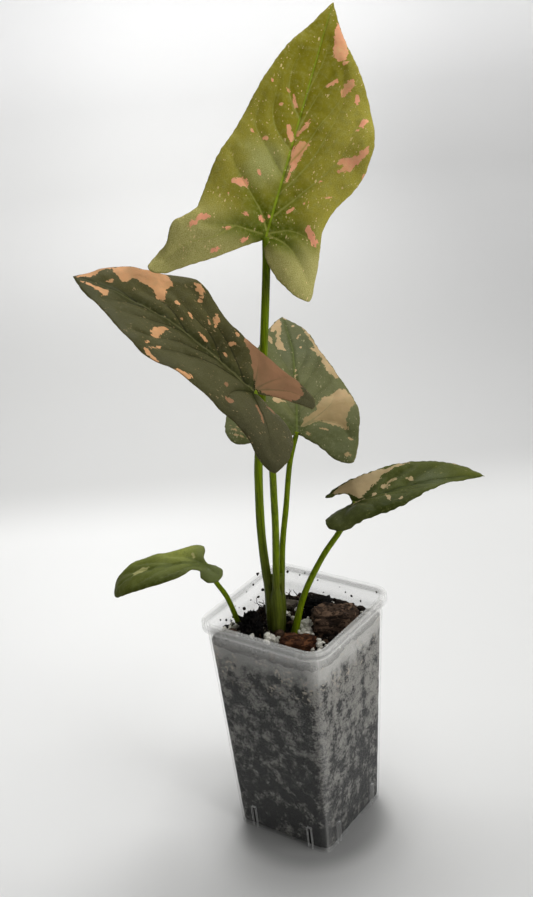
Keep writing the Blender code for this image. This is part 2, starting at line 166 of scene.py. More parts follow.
# Each leaf: where the stalk meets it, how it lies in degrees, the shift of its waves and the unevenness of
# its margin, then its form on a flat sheet with x to the tip and y to the left of that joint.
# A bend or fold is x and degrees. A roll is side, start, radius, x of full strength and x of none.
# left, right and veins are points of smooth lines, and spine is the line that the blade folds along.
# A zone is the outline of a large patch.
# A patch is x, y, half length, half width and turn, and may end with a taper.
LEAVES = {
    "leaf_blade_1": {
        "joint": (-1.1, 2.9, 296.1), "heading": 86, "rise": 57, "roll": -35, "wave": 0.4, "teeth": 0.25,
        "bend": ((-45, -14), (0, 0), (60, 3), (110, 8)),
        "fold": ((-40, 4), (0, 8), (60, 8), (110, 14)),
        "rolls": ((-1, 12.0, 14.0, 2.0, 30.0),),
        "spine": ((-40, 0), (0, 0), (110, 0)),
        "left": (
            (110.5, 0), (98, 6), (88, 12), (79, 16), (61, 21), (42, 25), (26, 29.5), (13, 31), (4, 31.5),
            (-1, 34.5), (-4.5, 39), (-9, 40.5), (-14, 40), (-20, 43.5), (-26, 45.5), (-28, 41), (-20, 28),
            (-14, 18), (-7, 9), (-2, 2), (-1, 0),
        ),
        "right": (
            (110.5, 0), (98, -6.5), (90, -12), (80, -19.5), (68, -27), (53, -33.5), (42, -34.5),
            (31, -32.5), (21, -27), (12, -23.5), (3, -25), (-8, -30), (-16, -32.5), (-20.5, -30.5),
            (-22, -26), (-20.5, -17), (-16, -9), (-9, -2), (-4, 0.8), (-1, 0),
        ),
        "veins": (
            ((2, 0), (10, 5), (15, 10), (19, 14), (26, 21), (31, 24)),
            ((1, 2), (1, 8), (1, 14), (-1, 21), (-2, 27)), ((1, 14), (-6, 21), (-11, 30), (-20, 39)),
            ((19, 0), (29, -6), (40, -11), (61, -16), (73, -15)),
            ((32, 0), (41, -5), (52, -9), (67, -15), (79, -13)),
            ((10, -1), (21, -9), (32, -17), (44, -23), (56, -25)), ((44, 0), (55, -2), (66, -5), (76, -9)),
            ((60, 0), (70, -1), (80, -3), (90, -4)), ((27, 0), (35, 8), (40, 13), (47, 18), (59, 18)),
            ((39, 0), (46, 8), (54, 12), (68, 13)), ((54, 0), (63, 7), (74, 9), (83, 8)),
            ((1, -1), (-1, -9), (-7, -17), (-13, -23)), ((2, -1), (5, -9), (4, -17), (1, -22)),
        ),
        "zones": (
            ((100.4, -4.7), (95.6, -8.5), (88.8, -12.6), (83.9, -13.2), (81.9, -9.8), (83.5, -7.5),
             (91.5, -5.2)),
            ((70.2, -6.7), (73.1, -8.9), (75.1, -11.8), (73.2, -11.9), (71.2, -10.3), (70, -7.4)),
            ((67.3, -15.3), (69.9, -14.3), (72.8, -14.5), (74.8, -16.3), (75.4, -18.4), (73.7, -19.5),
             (70.8, -18.3), (68.3, -16.2)),
            ((69.3, -20.9), (70, -22.3), (67.3, -23.4), (64.9, -23.3), (65, -22)),
            ((58.7, -26.4), (60, -28.8), (57.7, -28.8), (54.9, -27.8), (55.8, -25.8)),
            ((37.8, -20.9), (40.3, -22.3), (41.5, -24.6), (42.9, -28.3), (45.5, -30.7), (47.4, -32),
             (45.1, -32.9), (42.3, -31.7), (40.1, -29.6), (36.8, -28.2), (35.6, -25.8), (34.1, -22.8),
             (34.9, -22.4), (38, -23.8)),
            ((48.7, 4.8), (50.3, 3.4), (46.4, 0.7), (44.2, -0.1), (42.7, 0.4), (44.4, 2.7)),
            ((44.6, -0.3), (47.7, -0.7), (51.4, -2.3), (54.2, -4.8), (53.6, -5.6), (49.9, -3.7),
             (47.1, -2.1)),
            ((24, -1.3), (29, -1.6), (32.8, -1.7), (35.5, -1), (40.2, -1), (42.9, -2.3), (44.7, -4.9),
             (43.5, -7.7), (41.5, -6.4), (39, -5.7), (35.1, -5.4), (32.4, -3.8), (28.4, -2.9),
             (25.5, -2.5)),
            ((18.1, 20.7), (20.2, 21.1), (21.1, 18.8), (22.3, 15.9), (21.6, 14.3), (18, 11.7), (18.5, 13.9),
             (17.7, 16), (17.9, 18.8)),
            ((-6.4, 33.4), (-3.6, 32.6), (1.1, 29.5), (2, 27.2), (1.2, 25), (-0.4, 26.5), (-0.8, 28.2),
             (-3.2, 30), (-5.5, 32)),
            ((-12.4, 21.6), (-10.2, 20), (-9.4, 17.2), (-10.8, 17.5), (-12.9, 20.1)),
            ((7.9, -14.4), (8.6, -16.4), (7, -19.1), (3.7, -22.6), (2, -22.7), (1.9, -19.9), (5, -17)),
            ((-1.5, 18.3), (-0.1, 16.9), (0.1, 14.7), (-1.5, 16.1)),
        ),
        "patches": (
            (81.9, -12.7, 1.3, 0.7, -47), (53.5, -25.5, 1.7, 0.5, -67), (26.1, 10.4, 1.7, 0.8, -134),
            (6.8, 10.4, 2.1, 0.7, -103), (7, 3.8, 1.9, 1.0, -135), (-3.7, 8.8, 2.1, 0.6, -39),
            (28.6, -16, 1.3, 0.4, -55), (22.6, -20.8, 1.7, 0.4, -70), (18, -12.7, 1.3, 0.4, -51),
            (13.4, -6.9, 2.1, 0.7, -41), (41.2, 11.5, 1.1, 0.8, -69), (42.4, 18.1, 0.8, 0.5, -116),
            (13.6, 20.7, 0.6, 0.5, -72), (59.9, 3.7, 3.1, 0.6, -150), (64.2, 7.6, 1.7, 0.6, -134),
            (66.3, 15.9, 0.8, 0.6, -135), (57.2, 9.3, 0.9, 0.7, -68), (35.6, -33.5, 3.2, 0.6, -10),
            (8.7, 1.1, 0.9, 0.4, -155),
        ),
    },
    "leaf_blade_2": {
        "joint": (4.8, -23.7, 236.5), "heading": -157, "rise": 41, "roll": 19, "wave": 1.2, "teeth": 0.2,
        "bend": ((-40, -6), (0, 0), (50, 5), (80, 16), (100, 26)),
        "fold": ((-40, 6), (0, 18), (60, 14), (100, 8)),
        "rolls": ((1, 14.0, 22.0, -5.0, 25.0),),
        "spine": ((-40, 0), (0, 0), (20, -3), (40, -5), (60, -4), (91, 0)),
        "left": (
            (91, 0), (83, 7), (73, 13), (63, 20), (54, 25.5), (46, 28), (35, 29), (23, 28), (14, 26.5),
            (4, 27.5), (-8, 30), (-19, 32), (-26, 31), (-28, 25), (-27, 16), (-24, 7), (-14, 2), (-5, 0.5),
            (-1, 0),
        ),
        "right": (
            (91, 0), (85, -9), (78, -16), (68, -22), (57, -27), (46, -30), (35, -26.5), (24, -22.5),
            (14, -19.5), (4, -18.5), (-8, -19), (-18, -18.5), (-26, -16.5), (-26, -13), (-18, -9.5),
            (-9, -5), (-1, 0),
        ),
        "veins": (
            ((4, -1), (20, 2), (32, 10), (41, 18), (47, 21)),
            ((13, -2), (26, -1), (39, 6), (48, 14), (54, 18)), ((29, -4), (43, -3), (57, 5), (64, 9)),
            ((51, -5), (64, -1), (73, 6)), ((5, -1), (15, -9), (26, -16), (38, -21), (46, -24)),
            ((18, -3), (28, -11), (42, -15), (54, -18)), ((37, -5), (50, -11), (63, -11)),
            ((61, -4), (71, -5), (80, -4)), ((0, -1), (-5, -6), (-13, -12), (-22, -15)),
            ((1, -2), (3, -8), (6, -15)), ((0, -2), (-3, -9), (-7, -16)),
            ((0, 2), (-7, 9), (-14, 18), (-20, 25)), ((0, 1), (6, 8), (8, 16), (6, 23)),
        ),
        "zones": (
            ((89.9, 0.1), (87.7, -6.5), (85.6, -9.5), (81.4, -13.1), (75.5, -17.5), (70.3, -20.4),
             (67.1, -22.5), (61.3, -25.9), (57.2, -24.4), (54, -20.7), (55.6, -18.4), (52.8, -12.5),
             (55.8, -11.8), (58.9, -13.5), (62.8, -14.5), (66.9, -14.2), (69.9, -13.6), (70.9, -9.9),
             (72.7, -8.6), (75.8, -10.5), (79.4, -12.6), (82.6, -10.1), (83, -6.9), (84.7, -4),
             (87.5, -1.6)),
            ((86.7, 1.6), (83.5, 1.3), (78.7, 1), (74.2, -0.8), (73.4, 3.3), (74.4, 5.5), (77.6, 3.3),
             (82.1, 2.5)),
            ((48.3, -27.5), (45.7, -28.8), (43.7, -28.4), (41.5, -26.5), (40.8, -23.9), (42.4, -23.6),
             (45.3, -26)),
            ((32.9, -20.4), (31.9, -21.9), (29.7, -20), (28.1, -16.5), (29.4, -15.7)),
            ((49.4, 10.9), (49.5, 8), (47.5, 3.4), (45.6, 1.7), (44, 2), (44.7, 4.5), (45.5, 7.7),
             (44.4, 9.9), (46, 13.4), (47.5, 13.8)),
            ((45, 23), (44.2, 20.7), (42.9, 17.7), (41.6, 17.3), (42.5, 20.8), (44, 23.3)),
            ((15.9, -17.8), (13.9, -16.8), (10.6, -13.7), (8.6, -11.3), (5.1, -8), (2.2, -4), (-0.4, -1.9),
             (-9, -4.5), (-14, -7), (-17.5, -10.5), (-18.5, -15), (-15, -17.5), (-12, -23), (0, -23),
             (16, -21)),
            ((32.7, 29.7), (29.3, 27), (24.8, 25.5), (23.7, 26.5), (25.8, 30.4), (29.5, 31.6)),
            ((-3.9, 9.7), (-4.5, 7.7), (-10.3, 15.4), (-10.1, 17), (-6.7, 14.5)),
            ((-8, 4.1), (-9.9, 1.4), (-12.5, 1.9), (-12.4, 4.5), (-9.7, 5)),
        ),
        "patches": (
            (76.9, -6.4, 1.3, 0.9, -140), (41.5, -22, 1.4, 0.7, -135), (48.5, -15, 1.6, 1.0, 154),
            (32.6, -16.2, 2.2, 0.6, 129), (47.5, 20.6, 1.4, 0.6, -115), (44.2, 26.1, 2.8, 1.0, 147),
            (31.1, -7.7, 3.0, 0.8, 164), (19.1, -13.6, 1.4, 1.2, -114), (18.8, -6.9, 0.9, 0.5, 160),
            (19.9, -19.2, 1.8, 0.6, 146), (42.2, 27.5, 4.3, 0.8, 159), (11.3, 11.6, 2.0, 0.9, -99),
            (6.5, 19.6, 2.2, 1.4, 178), (40.4, -13.5, 1.3, 0.6, 162), (42.5, -9.3, 0.9, 0.5, 159),
        ),
    },
    "leaf_blade_3": {
        "joint": (-5.2, 20.9, 200.1), "heading": 126, "rise": 24, "roll": -5, "wave": 2.2, "teeth": 0.4,
        "bend": ((-40, -6), (0, 0), (50, 4), (90, 10)),
        "fold": ((-40, 8), (0, 12), (90, 8)),
        "rolls": (),
        "spine": ((-40, 0), (0, 0), (25, -2), (60, -3), (92, 0)),
        "left": (
            (92, 0), (85, 5), (76, 9), (62, 14), (46, 20), (30, 26), (16, 31), (4, 34), (-5, 34.5),
            (-11, 32), (-12, 27), (-9, 19), (-5, 9), (-1, 0),
        ),
        "right": (
            (92, 0), (85, -6), (77, -10.5), (66, -14.5), (53, -18), (38, -22), (26, -26.5), (16, -29),
            (6, -30), (-5, -29), (-15, -27), (-22, -25), (-24.5, -21), (-20, -16), (-11, -9), (-1, 0),
        ),
        "veins": (
            ((2, -1), (7, -9), (14, -17), (21, -20)), ((1, -1), (5, -10), (0, -20), (-8, -24)),
            ((25, -2), (38, -10), (53, -15), (66, -13)), ((40, -3), (54, -9), (67, -10)),
            ((11, -1), (23, -11), (32, -19)), ((11, 0), (25, 6), (40, 14)), ((2, 1), (12, 10), (24, 19)),
            ((36, -2), (52, 3), (64, 6)), ((1, 1), (-1, 10), (-3, 22)),
        ),
        "zones": (
            ((91.4, 1.3), (86.9, 1.2), (76.4, 1.7), (69.3, 2.8), (64.6, 2.1), (58.7, 0.9), (59.5, 2.1),
             (60.5, 4.6), (64.2, 5.4), (69.1, 4.8), (76, 4.5), (74.8, 6.3), (75.6, 7.6), (79.8, 6.8),
             (84.8, 4.7)),
            ((82.4, -8.5), (78.1, -10.4), (72.2, -12.6), (66.3, -13.7), (60.4, -16.4), (53.8, -17.9),
             (45.4, -19.6), (37.8, -21.5), (32.8, -23.6), (32.8, -22), (35.1, -20.1), (37.2, -18.3),
             (45.3, -17), (52.3, -16.1), (52.2, -14.5), (56.5, -13.8), (60.1, -11.4), (61, -13.7),
             (65.4, -13.6), (68.7, -11.7), (72.9, -10.4)),
            ((1.7, -2), (7.7, -4.5), (10.9, -9.4), (17.2, -12.1), (20.5, -15), (20.3, -17.6), (22.7, -19.9),
             (24.5, -22.7), (24.3, -25.9), (21.4, -27.1), (16.4, -28.8), (10.6, -28.5), (5.4, -25.1),
             (1.8, -23.5), (-4.3, -24.1), (-1.8, -20.3), (0.6, -15.6), (4.3, -11.9), (4.1, -8.8),
             (2.7, -5.6)),
            ((44, -2.5), (44.3, -3.1), (39.6, -3.4), (36.5, -2.9), (37, -2)),
        ),
        "patches": (
            (67.2, 8.2, 3.6, 1.1, -169), (80.4, -4.8, 1.3, 0.8, -35), (69.9, -6.8, 2.0, 0.6, -21),
            (61.5, -7.3, 1.4, 0.7, -22), (89.3, -1.4, 1.7, 0.6, -162), (19.5, 8.2, 2.2, 2.1, -173),
            (19.5, 4.3, 1.0, 0.7, -71), (-2, -13.1, 2.5, 0.7, -122), (-2.7, -5, 3.4, 0.6, -147),
            (-9.2, -24.1, 2.1, 0.8, -145), (-18.9, -22, 1.4, 1.3, -121), (43.3, -15.1, 0.9, 0.7, -155),
            (-5, 28, 4.5, 0.6, 75), (-8, 27, 4, 0.5, 80), (-2, 29, 3.5, 0.5, 70),
        ),
    },
    "leaf_blade_4": {
        "joint": (24.6, 20.3, 169.9), "heading": 43, "rise": 12, "roll": -10, "wave": 0.9, "teeth": 0.7,
        "bend": ((-30, -8), (0, 0), (40, 10), (70, 32)),
        "fold": ((-20, 14), (0, 26), (40, 22), (65, 6)),
        "rolls": ((-1, 6.0, 16.0, 40.0, 70.0),),
        "spine": ((-30, 0), (0, 0), (64, 0)),
        "left": (
            (64, 0), (57, 7), (47, 11), (34, 13), (20, 14), (8, 13.5), (-2, 12), (-9, 10), (-12, 8.2),
            (-9.5, 7.2), (-4.5, 6.9), (-1.5, 4.2), (-1, 0),
        ),
        "right": (
            (64, 0), (56, -2), (47, -4), (36, -8.5), (27, -13.5), (18, -19), (9, -20.5), (1, -20),
            (-4, -20), (-10, -20), (-15, -17), (-17, -11.5), (-15, -6), (-9, -3.6), (-3, -1.8), (-1, 0),
        ),
        "veins": (
            ((4, 1), (12, 6), (18, 11)), ((13, 1), (22, 7), (30, 10)), ((26, 1), (36, 6), (44, 8)),
            ((2, 0), (12, -4), (22, -9)), ((14, 0), (24, -4), (32, -7)), ((28, 0), (38, -3), (46, -3)),
            ((0, -1), (-5, -6), (-9, -13)), ((1, -1), (5, -9), (6, -16)),
        ),
        "zones": (
            ((-8.1, 8.7), (-3.9, 10.7), (1.6, 12.1), (8.8, 13.4), (14.5, 13.5), (21.1, 12.8), (26.9, 13.3),
             (32.4, 12.7), (25.9, 11.9), (20.5, 10.9), (16.9, 10.5), (14.1, 7.7), (9.6, 5.4), (8.2, 4.5),
             (5.3, 2.4), (1.8, 0.2), (0.8, 2.8), (-1.3, 5.2), (-4.4, 6.2)),
            ((14.7, 4.3), (16.4, 5.1), (19.2, 5.9), (18.2, 3.7), (16.3, 2.1), (13.7, 3.1)),
            ((26.4, 4.6), (27.7, 4.2), (28.9, 5.3), (29.5, 4.4), (29.4, 2.2), (27.1, 3.3)),
            ((2.5, -0.3), (6.5, -0.3), (5.7, -1.3), (1.5, -1), (-2.3, -4.1), (-2.7, -3.1), (-0.1, -0.2)),
            ((18.7, 6.1), (21.5, 6.9), (22.6, 6.1), (22.1, 5.3), (19.3, 5.5)),
        ),
        "patches": (
            (9.2, -0.1, 1.6, 1.0, 36), (14.1, -8.8, 4.3, 1.0, -89), (18.9, -13.8, 1.2, 0.9, -96),
            (51.6, 9.4, 1.5, 0.7, 2),
        ),
    },
    "leaf_blade_5": {
        "joint": (-31.4, -25.2, 146.7), "heading": -142, "rise": 3, "roll": 9, "wave": 3.0, "teeth": 0.15,
        "bend": ((-20, 0), (0, 0), (20, 10), (35, 27), (50, 62)),
        "fold": ((-20, 6), (0, 10), (25, 4), (50, -6)),
        "rolls": ((1, 6.0, 16.0, 60.0, 90.0),),
        "spine": ((-20, 0), (0, 0), (16, -2), (30, -2), (48, 0)),
        "left": (
            (48, 0), (47, 3.5), (42, 7), (34, 9.4), (25, 10.8), (16, 11.2), (10, 8.8), (5.5, 5), (2.6, 6.0),
            (2.4, 11.5), (-1.5, 15.4), (-6.5, 13.6), (-8.2, 7.5), (-5, 2.2), (-1, 0),
        ),
        "right": (
            (48, 0), (50, -5), (49.5, -10), (43, -12.5), (33, -12.6), (19, -12), (8, -12.5), (1.5, -13),
            (-0.5, -9.5), (0.5, -4), (-1, 0),
        ),
        "veins": (
            ((2, 0), (9, 3), (19, 7)), ((16, -2), (25, 3), (32, 5)), ((2, -1), (9, -6), (17, -9)),
            ((14, -2), (23, -6), (32, -9)), ((26, -2), (34, -5), (40, -7)), ((0, 1), (-3, 7), (-6, 10)),
        ),
        "zones": (),
        "patches": (
            (30.9, -3.3, 4.3, 1.7, -174, -0.5), (5.4, -6.3, 2.0, 0.7, 107),
        ),
    },
}

# Each stalk: the points it runs through below its blade, and its radius at the foot, partway and on top.
PETIOLES = {
    "petiole_1": {
        "path": (
            (-8.7, -6.9, 126.7), (-9.7, -7.4, 139.4), (-10.3, -7.5, 160.3), (-9.8, -6.5, 185.5),
            (-8.8, -5.5, 200.1), (-6.2, -2.8, 228.4), (-3.9, -0.2, 255.6), (-1.8, 2.2, 283.0),
        ),
        "radii": (2.15, 1.95, 1.7),
    },
    "petiole_2": {
        "path": (
            (-4.8, -7.8, 126.7), (-3.2, -8.2, 141.2), (-0.4, -9.8, 162.4), (2.2, -12.3, 183.1),
            (4.4, -14.8, 199.6), (5.6, -18.6, 216.9),
        ),
        "radii": (1.8, 1.65, 1.5),
    },
    "petiole_3": {
        "path": (
            (-4.4, -3.8, 126.7), (-4.9, 1.1, 149.6), (-5.2, 7.1, 167.3), (-6.2, 14.4, 186.2),
        ),
        "radii": (1.6, 1.4, 1.2),
    },
    "petiole_4": {
        "path": (
            (2.1, -7.0, 96.0), (2.9, -5.9, 107.0), (6.4, -1.1, 126.1), (12.9, 6.8, 144.0),
            (19.7, 14.5, 157.0),
        ),
        "radii": (2.5, 1.5, 1.25),
    },
    "petiole_5": {
        "path": (
            (-25.8, -9.4, 96.0), (-26.3, -11.0, 107.0), (-27.8, -15.8, 124.1), (-29.9, -20.5, 134.6),
        ),
        "radii": (1.6, 1.3, 1.1),
    },
}

# Each loose piece: its middle, half sizes, turn in degrees and seed.
PIECES = {
    "bark_right": ((17.6, 7.0, 112.6), (12.0, 6.6, 6.5), 34, 1),
    "bark_front": ((10.8, -15.8, 109.5), (9.0, 6.0, 4.0), 22, 2),
    "bark_back": ((2.8, 16.2, 110.5), (7.5, 5.0, 4.5), 40, 3),
    "bark_left": ((-15.2, -15.8, 112.0), (5.5, 4.5, 7.5), 60, 4),
    "bark_flake": ((-14.0, 15.5, 107.9), (4.5, 3.2, 1.8), 10, 5),
    "perlite_1": ((6.2, 0.0, 109.5), (2.0, 1.9, 2.8), 0, 6),
    "perlite_2": ((-3.1, -16.8, 108.3), (2.4, 2.0, 1.9), 30, 7),
    "perlite_3": ((-25.1, -20.3, 108.3), (2.2, 1.9, 1.8), 70, 8),
}


class Shader:
    """One material, with short calls for the nodes it is made of."""

    def __init__(self, name):
        self.material = bpy.data.materials.new(name)
        self.material.use_nodes = True
        self.nodes = self.material.node_tree.nodes
        self.links = self.material.node_tree.links
        self.surface = self.nodes["Principled BSDF"]

    def put(self, socket, value):
        if isinstance(value, bpy.types.NodeSocket):
            self.links.new(value, socket)
        elif socket.type == "RGBA":
            socket.default_value = (*value, 1.0)
        elif socket.type == "VECTOR" and not hasattr(value, "__len__"):
            socket.default_value = (value, value, value)
        else:
            socket.default_value = value

    def node(self, kind, inputs, output=0, **settings):
        made = self.nodes.new(kind)
        for key, value in settings.items():
            setattr(made, key, value)
        for key, value in inputs.items():
            self.put(made.inputs[key], value)
        return made.outputs[output]

    def set(self, **values):
        for key, value in values.items():
            self.put(self.surface.inputs[key.replace("_", " ")], value)

    def place(self):
        """Position in the object's own frame, in millimetres."""
        point = self.node("ShaderNodeTexCoord", {}, "Object")
        return self.node("ShaderNodeVectorMath", {0: point, 3: 1 / MM}, operation="SCALE")

    def attribute(self, name, output="Fac"):
        return self.node("ShaderNodeAttribute", {}, output, attribute_name=name)

    def stretch(self, vector, scale, turn=(0, 0, 0)):
        return self.node("ShaderNodeMapping", {"Vector": vector, "Scale": scale, "Rotation": turn})

    def split(self, vector):
        parts = self.nodes.new("ShaderNodeSeparateXYZ")
        self.links.new(vector, parts.inputs[0])
        return parts.outputs

    def sum(self, a, b, operation="ADD"):
        return self.node("ShaderNodeMath", {0: a, 1: b}, operation=operation)

    def times(self, a, b):
        return self.sum(a, b, "MULTIPLY")

    def magnitude(self, value):
        return self.sum(value, 0.0, "ABSOLUTE")

    def swing(self, value, reach):
        """A value about half, turned into one about zero with this reach."""
        return self.times(self.sum(value, -0.5), reach)

    def distance(self, vector, point):
        return self.node("ShaderNodeVectorMath", {0: vector, 1: point}, "Value", operation="DISTANCE")

    def step(self, value, low, high, start=0.0, end=1.0):
        """start below low, end above high, and smooth between."""
        inputs = {"Value": value, "From Min": low, "From Max": high, "To Min": start, "To Max": end}
        return self.node("ShaderNodeMapRange", inputs, interpolation_type="SMOOTHSTEP")

    def mix(self, share, a, b, blend="MIX"):
        made = self.nodes.new("ShaderNodeMix")
        made.data_type = "RGBA"
        made.blend_type = blend
        for socket, value in zip((made.inputs[0], made.inputs[6], made.inputs[7]), (share, a, b)):
            self.put(socket, value)
        return made.outputs[2]

    def noise(self, vector, size, detail=3.0, roughness=0.55, distortion=0.0):
        """Noise about half, with lumps of this size in the vector's units."""
        inputs = {"Vector": vector, "Scale": 1 / size, "Detail": detail, "Roughness": roughness}
        return self.node("ShaderNodeTexNoise", {**inputs, "Distortion": distortion})

    def cells(self, vector, size, output="Distance"):
        return self.node("ShaderNodeTexVoronoi", {"Vector": vector, "Scale": 1 / size}, output)

    def bump(self, height, distance, strength):
        inputs = {"Height": height, "Distance": distance * MM, "Strength": strength}
        return self.node("ShaderNodeBump", inputs)


def linked(name, data):
    made = bpy.data.objects.new(name, data)
    bpy.context.scene.collection.objects.link(made)
    return made


def add_object(name, mesh, finish):
    mesh.materials.append(finish)
    return linked(name, mesh)


def dress(piece, nodes):
    """The piece rides on the body and stands for its nodes."""
    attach(piece, "root")
    if nodes:
        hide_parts(*nodes)


def add_piece(mesh, finish, nodes):
    dress(add_object(mesh.name, mesh, finish), nodes)


def mesh_of(name, points, faces):
    mesh = bpy.data.meshes.new(name)
    mesh.from_pydata([tuple(point) for point in np.asarray(points) * MM], [], faces)
    mesh.validate()
    mesh.shade_smooth()
    return mesh


def store(mesh, name, values):
    """Keeps one number or one triple for each vertex."""
    values = np.asarray(values, np.float32)
    kind, field = ("FLOAT", "value") if values.ndim == 1 else ("FLOAT_VECTOR", "vector")
    mesh.attributes.new(name, kind, "POINT").data.foreach_set(field, values.ravel())


def curve_through(points, count):
    """Evenly spaced points along a smooth curve through the given ones."""
    points = np.array(points, float)
    padded = np.vstack([2 * points[0] - points[1], points, 2 * points[-1] - points[-2]])
    fine = [points[0]]
    for a, b, c, d in zip(padded, padded[1:], padded[2:], padded[3:]):
        for t in np.linspace(0, 1, CURVE_STEPS + 1)[1:]:
            cubic = 3 * b - a - 3 * c + d
            square = 2 * a - 5 * b + 4 * c - d
            fine.append((2 * b + (c - a) * t + square * t**2 + cubic * t**3) / 2)
    fine = np.array(fine)
    length = np.concatenate([[0.0], np.cumsum(np.linalg.norm(np.diff(fine, axis=0), axis=1))])
    even = np.linspace(0, length[-1], count + 1)
    return np.stack([np.interp(even, length, column) for column in fine.T], -1)


def length_of(points):
    return float(np.linalg.norm(np.diff(np.array(points, float), axis=0), axis=1).sum())


def grain(points, size, seed=0.0):
    """Noise from -1 to 1 at each point, with lumps of this size."""
    shift = Vector((seed, 1.7 * seed, 2.3 * seed))
    return np.array([noise.noise(Vector(point) / size + shift) for point in points])


def at_height(points, z=0.0):
    return np.column_stack([points, np.full(len(points), z)])


def angles_round(count):
    return np.linspace(0, 2 * np.pi, count, endpoint=False)


def circle(angles):
    return np.stack([np.cos(angles), np.sin(angles)], -1)


def ringed_faces(rings, count):
    """Four-sided faces between rings that have this many points each."""
    faces = []
    for i in range(rings - 1):
        for j in range(count):
            k = (j + 1) % count
            faces.append((i * count + j, i * count + k, (i + 1) * count + k, (i + 1) * count + j))
    return faces


def closed_faces(rings, count):
    """The faces between the rings, and one face over each end."""
    last = (rings - 1) * count
    return [*ringed_faces(rings, count), tuple(reversed(range(count))), tuple(range(last, last + count))]


# Leaf form, as in the solids.


def along(pairs, x):
    distances, values = zip(*pairs)
    return np.interp(x, distances, values)


def midrib(leaf, x):
    """How far out and how high the midrib is at x along the flat blade, and its slope."""
    s = np.arange(MIDRIB_REACH[0], MIDRIB_REACH[1] + 1.0)
    slope = np.radians(along(leaf["bend"], s))
    middle = (slope[1:] + slope[:-1]) / 2
    reach = np.concatenate([[0.0], np.cumsum(np.cos(middle))])
    drop = np.concatenate([[0.0], np.cumsum(np.sin(middle))])
    start = -MIDRIB_REACH[0]
    height = drop[start] - drop
    return np.interp(x, s, reach - reach[start]), np.interp(x, s, height), np.interp(x, s, slope)


def rolled(distance, radius, weight):
    """How far across and how far down a strip reaches when it is rolled round the radius."""
    turn = np.maximum(weight * distance / radius, 1e-6)
    return distance * np.sin(turn) / turn, distance * (1 - np.cos(turn)) / turn


def bent(leaf, x, y):
    """Flat blade points, x to the tip and y to the left, after folding, rolling and bending."""
    fold = np.radians(along(leaf["fold"], x))
    width = np.abs(y)
    drop = np.zeros_like(width)
    for side, start, radius, full, none in leaf["rolls"]:
        weight = np.clip((none - x) / (none - full), 0, 1) * (np.sign(y) == side)
        reach, fall = rolled(np.maximum(width - start, 0), radius, weight)
        width = np.minimum(width, start) + reach
        drop = drop + fall
    across = np.sign(y) * width * np.cos(fold)
    off = np.abs(y - along(leaf["spine"], x)) - np.abs(y) + width
    up = (np.sqrt(off**2 + FOLD_SOFTNESS**2) - FOLD_SOFTNESS) * np.sin(fold) - drop
    phase = 2 * np.pi * x / WAVE_LENGTH + leaf["wave"] + 1.7 * np.sign(y)
    up = up + WAVE_HEIGHT * (y / 25) ** 2 * np.sin(phase)
    reach, height, slope = midrib(leaf, x)
    return np.stack([reach + up * np.sin(slope), across, height + up * np.cos(slope)], -1)


def leaf_axes(leaf):
    """Unit vectors to the tip, to the left and off the upper face of the blade."""
    heading, rise, roll = np.radians([leaf["heading"], leaf["rise"], leaf["roll"]])
    ahead = np.array([np.cos(rise) * np.cos(heading), np.cos(rise) * np.sin(heading), np.sin(rise)])
    side = np.array([-np.sin(heading), np.cos(heading), 0.0])
    face = np.cos(roll) * np.cross(ahead, side) + np.sin(roll) * side
    return np.array([ahead, np.cross(face, ahead), face])


def in_place(leaf, flat):
    return np.array(leaf["joint"]) + bent(leaf, flat[:, 0], flat[:, 1]) @ leaf_axes(leaf)


def blade_outline(leaf):
    """The closed flat outline with a slightly uneven margin."""
    rows = []
    for side in ("left", "right"):
        coarse = curve_through(leaf[side], OUTLINE_STEPS)
        count = int(length_of(coarse) / GRID)
        steps = np.linspace(0, OUTLINE_STEPS, count + 1)
        even = [np.interp(steps, np.arange(OUTLINE_STEPS + 1), column) for column in coarse.T]
        rows.append((np.stack(even, -1) + curve_through(leaf[side], count)) / 2)
    outline = np.vstack([rows[0][:-1], rows[1][:0:-1]])
    tangent = np.roll(outline, -1, 0) - np.roll(outline, 1, 0)
    normal = np.stack([-tangent[:, 1], tangent[:, 0]], -1) / np.linalg.norm(tangent, axis=1)[:, None]
    flat = at_height(outline)
    uneven = grain(flat, 2.2, leaf["wave"]) + 0.7 * grain(flat, 6.5, leaf["wave"] + 3)
    return outline + normal * (leaf["teeth"] * uneven)[:, None]


def spine_line(leaf):
    length = leaf["left"][0][0]
    x = np.linspace(0.5, length - 1.5, int(length / VEIN_STEP))
    return np.column_stack([x, along(leaf["spine"], x)])


def vein_lines(leaf):
    """The midrib and the side veins as rows of flat points."""
    lines = [spine_line(leaf)]
    for vein in leaf["veins"]:
        lines.append(curve_through(vein, max(4, int(length_of(vein) / VEIN_STEP))))
    return lines


def distance_to(points, line):
    """Distance from each flat point to a row of points, and the share of the row before the nearest one."""
    gaps = np.linalg.norm(points[:, None] - line[None], axis=2)
    nearest = gaps.argmin(1)
    return gaps[np.arange(len(points)), nearest], nearest / (len(line) - 1)


def inside(outline, points):
    """Whether each point lies inside the closed outline."""
    hits = np.zeros(len(points), bool)
    x, y = points.T
    for (x1, y1), (x2, y2) in zip(outline, np.roll(outline, -1, 0)):
        if y1 != y2:
            hits ^= ((y1 > y) != (y2 > y)) & (x < (x2 - x1) * (y - y1) / (y2 - y1) + x1)
    return hits


